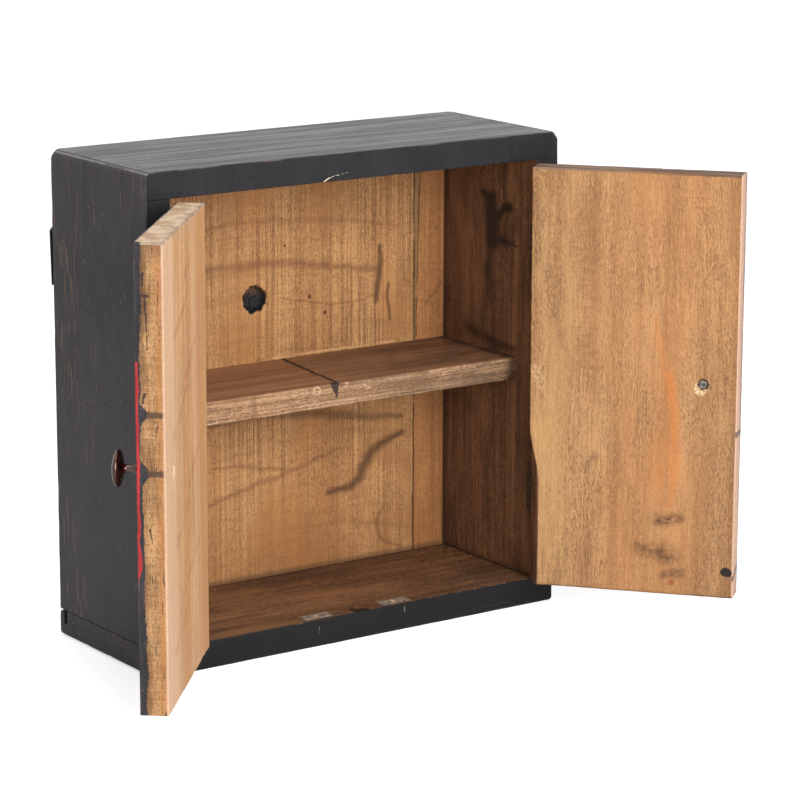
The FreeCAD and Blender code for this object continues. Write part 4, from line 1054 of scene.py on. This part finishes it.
bronze = metalMaterial("bronze_patina", {"scale": 40.0, "dark": tone(72, 54, 46), "light": tone(98, 80, 72),
                                         "rough": 0.2, "spread": 0.08, "metal": 1.0, "relief": 0.02})
steel = metalMaterial("dull_steel", {"scale": 240.0, "dark": tone(104, 92, 80), "light": tone(196, 190, 184),
                                     "rough": 0.34, "spread": 0.25, "metal": 0.7, "relief": 0.3})
agedSteel = metalMaterial("aged_steel", {"scale": 260.0, "dark": tone(36, 30, 27), "light": tone(84, 76, 70),
                                         "rough": 0.45, "spread": 0.2, "metal": 0.6, "relief": 0.3})
wornSteel = metalMaterial("worn_steel", {"scale": 420.0, "dark": tone(52, 44, 38),
                                         "light": tone(150, 142, 132), "rough": 0.4, "spread": 0.2,
                                         "metal": 0.6, "relief": 0.3})
iron = metalMaterial("black_iron", {"scale": 160.0, "dark": tone(22, 22, 23), "light": tone(52, 50, 50),
                                    "rough": 0.5, "spread": 0.2, "metal": 0.5, "relief": 0.3})


def turned(name, profile, rings, material):
    mesh = bmesh.new()
    loops = []
    for depth, radius in profile:
        loop = []
        for step in range(rings if radius > 0 else 1):
            angle = 2 * math.pi * step / rings
            loop.append(mesh.verts.new((radius * math.cos(angle), -depth, radius * math.sin(angle))))
        loops.append(loop)
    for first, second in zip(loops, loops[1:]):
        for step in range(rings):
            after = (step + 1) % rings
            ring = [first[step], first[after], second[after % len(second)], second[step % len(second)]]
            mesh.faces.new(list(dict.fromkeys(ring)))
    mesh.faces.new(loops[0])
    return addPiece(name, mesh, material, 50)


for label, door in doors.items():
    knob = turned(f"{label}_knob_turned", knobLook["profile"], knobLook["rings"], bronze)
    knob.matrix_world = swing(door) @ Matrix.Translation((door["side"] * knobIn, doorFront, knobHeight))
    settle(knob, f"{label}_door", "bronze", f"{label}_knob")
print("stage: knobs")

# the hardware keeps its own meshes
fillerMaterial = boardMaterial("plug_paint", dict(brownTimber, axis=0, seed=41.0),
                               dict(topPaint, seed=43.0, dark=tone(34, 33, 34), light=tone(58, 56, 58)),
                               lambda p: [ramp(cloud(p, 400.0, 3.0), 0.3, 0.36)])
finishes = {"steel": steel, "aged_steel": agedSteel, "worn_steel": wornSteel, "black_iron": iron,
            "filler": fillerMaterial}
fittings = {
    "steel": ["strike_plate", "strike_screws", "catch", "top_screws", "bottom_screws"],
    "aged_steel": ["hinge_pin", "leaf"],
    "worn_steel": ["knob_screw"],
    "black_iron": ["wall_hook", "shelf_nails"],
    "filler": ["screw_plugs"],
}
for name, node in cadNodes.items():
    for finish, words in fittings.items():
        if any(word in name for word in words):
            node.data.materials.clear()
            node.data.materials.append(finishes[finish])
print("stage: fittings")

# white floor and surroundings; the floor keeps the shadow
floorData = bpy.data.meshes.new("floor")
floorData.from_pydata([(-14, -14, 0), (14, -14, 0), (14, 14, 0), (-14, 14, 0)], [], [(0, 1, 2, 3)])
floor = addObject("floor", floorData)
floorMaterial, floorShader, floorCoords = newMaterial("floor_white")
tint = ramp(cloud(floorCoords, 3.0, 2.0), 0.2, 0.8)
feed(floorShader, "Base Color", mixed(tint, (0.86, 0.86, 0.865, 1), (0.88, 0.88, 0.885, 1)))
feed(floorShader, "Roughness", 0.9)
feed(floorShader, "Specular IOR Level", 0.1)
lightPath = floorMaterial.node_tree.nodes.new("ShaderNodeLightPath")
glow = Sock(floorMaterial.node_tree, lightPath.outputs["Is Camera Ray"])
feed(floorShader, "Emission Color", mixed(glow, (0, 0, 0, 1), (0.55, 0.55, 0.55, 1)))
feed(floorShader, "Emission Strength", 1.0)
floorData.materials.append(floorMaterial)

world = bpy.data.worlds.new("studio")
bpy.context.scene.world = world
world.use_nodes = True
worldTree = world.node_tree
seen = worldTree.nodes.new("ShaderNodeLightPath")
background = worldTree.nodes["Background"]
seen = most(Sock(worldTree, seen.outputs["Is Camera Ray"]), Sock(worldTree, seen.outputs["Is Glossy Ray"]))
worldTree.links.new(mixed(seen, (0.55, 0.55, 0.56, 1), (1, 1, 1, 1)).socket, background.inputs["Color"])


def panelLight(name, place, target, size, power):
    data = bpy.data.lights.new(name, "AREA")
    data.shape = "SQUARE"
    data.size = size
    data.energy = power
    light = addObject(name, data)
    light.location = place
    light.rotation_euler = (Vector(target) - Vector(place)).to_track_quat("-Z", "Y").to_euler()


panelLight("key_panel", (-0.7, -3.0, 1.35), (0.0, 0.0, 0.2), 1.8, 105.0)
panelLight("top_panel", (0.0, -0.4, 2.6), (0.0, 0.0, 0.2), 1.8, 22.0)

# camera: where the photograph was taken from
yaw, pitch, roll = math.radians(34.992), math.radians(12.98), math.radians(0.155)
ahead = Vector((math.sin(yaw) * math.cos(pitch), math.cos(yaw) * math.cos(pitch), -math.sin(pitch)))
across = Vector((math.cos(yaw), -math.sin(yaw), 0.0))
across = across * math.cos(roll) + across.cross(ahead) * math.sin(roll)
upward = across.cross(ahead)
cameraData = bpy.data.cameras.new("camera")
cameraData.sensor_width = 36.0
cameraData.lens = 36.0 * 3260.1 / 800.0
cameraData.clip_end = 60.0
camera = addObject("camera", cameraData)
camera.matrix_world = Matrix.Translation((-1.6411, -2.4915, 0.8995)) @ Matrix(
    (across, upward, -ahead)).transposed().to_4x4()
bpy.context.scene.camera = camera
bpy.context.scene.view_settings.view_transform = "Standard"
print("stage: floor, light and camera")
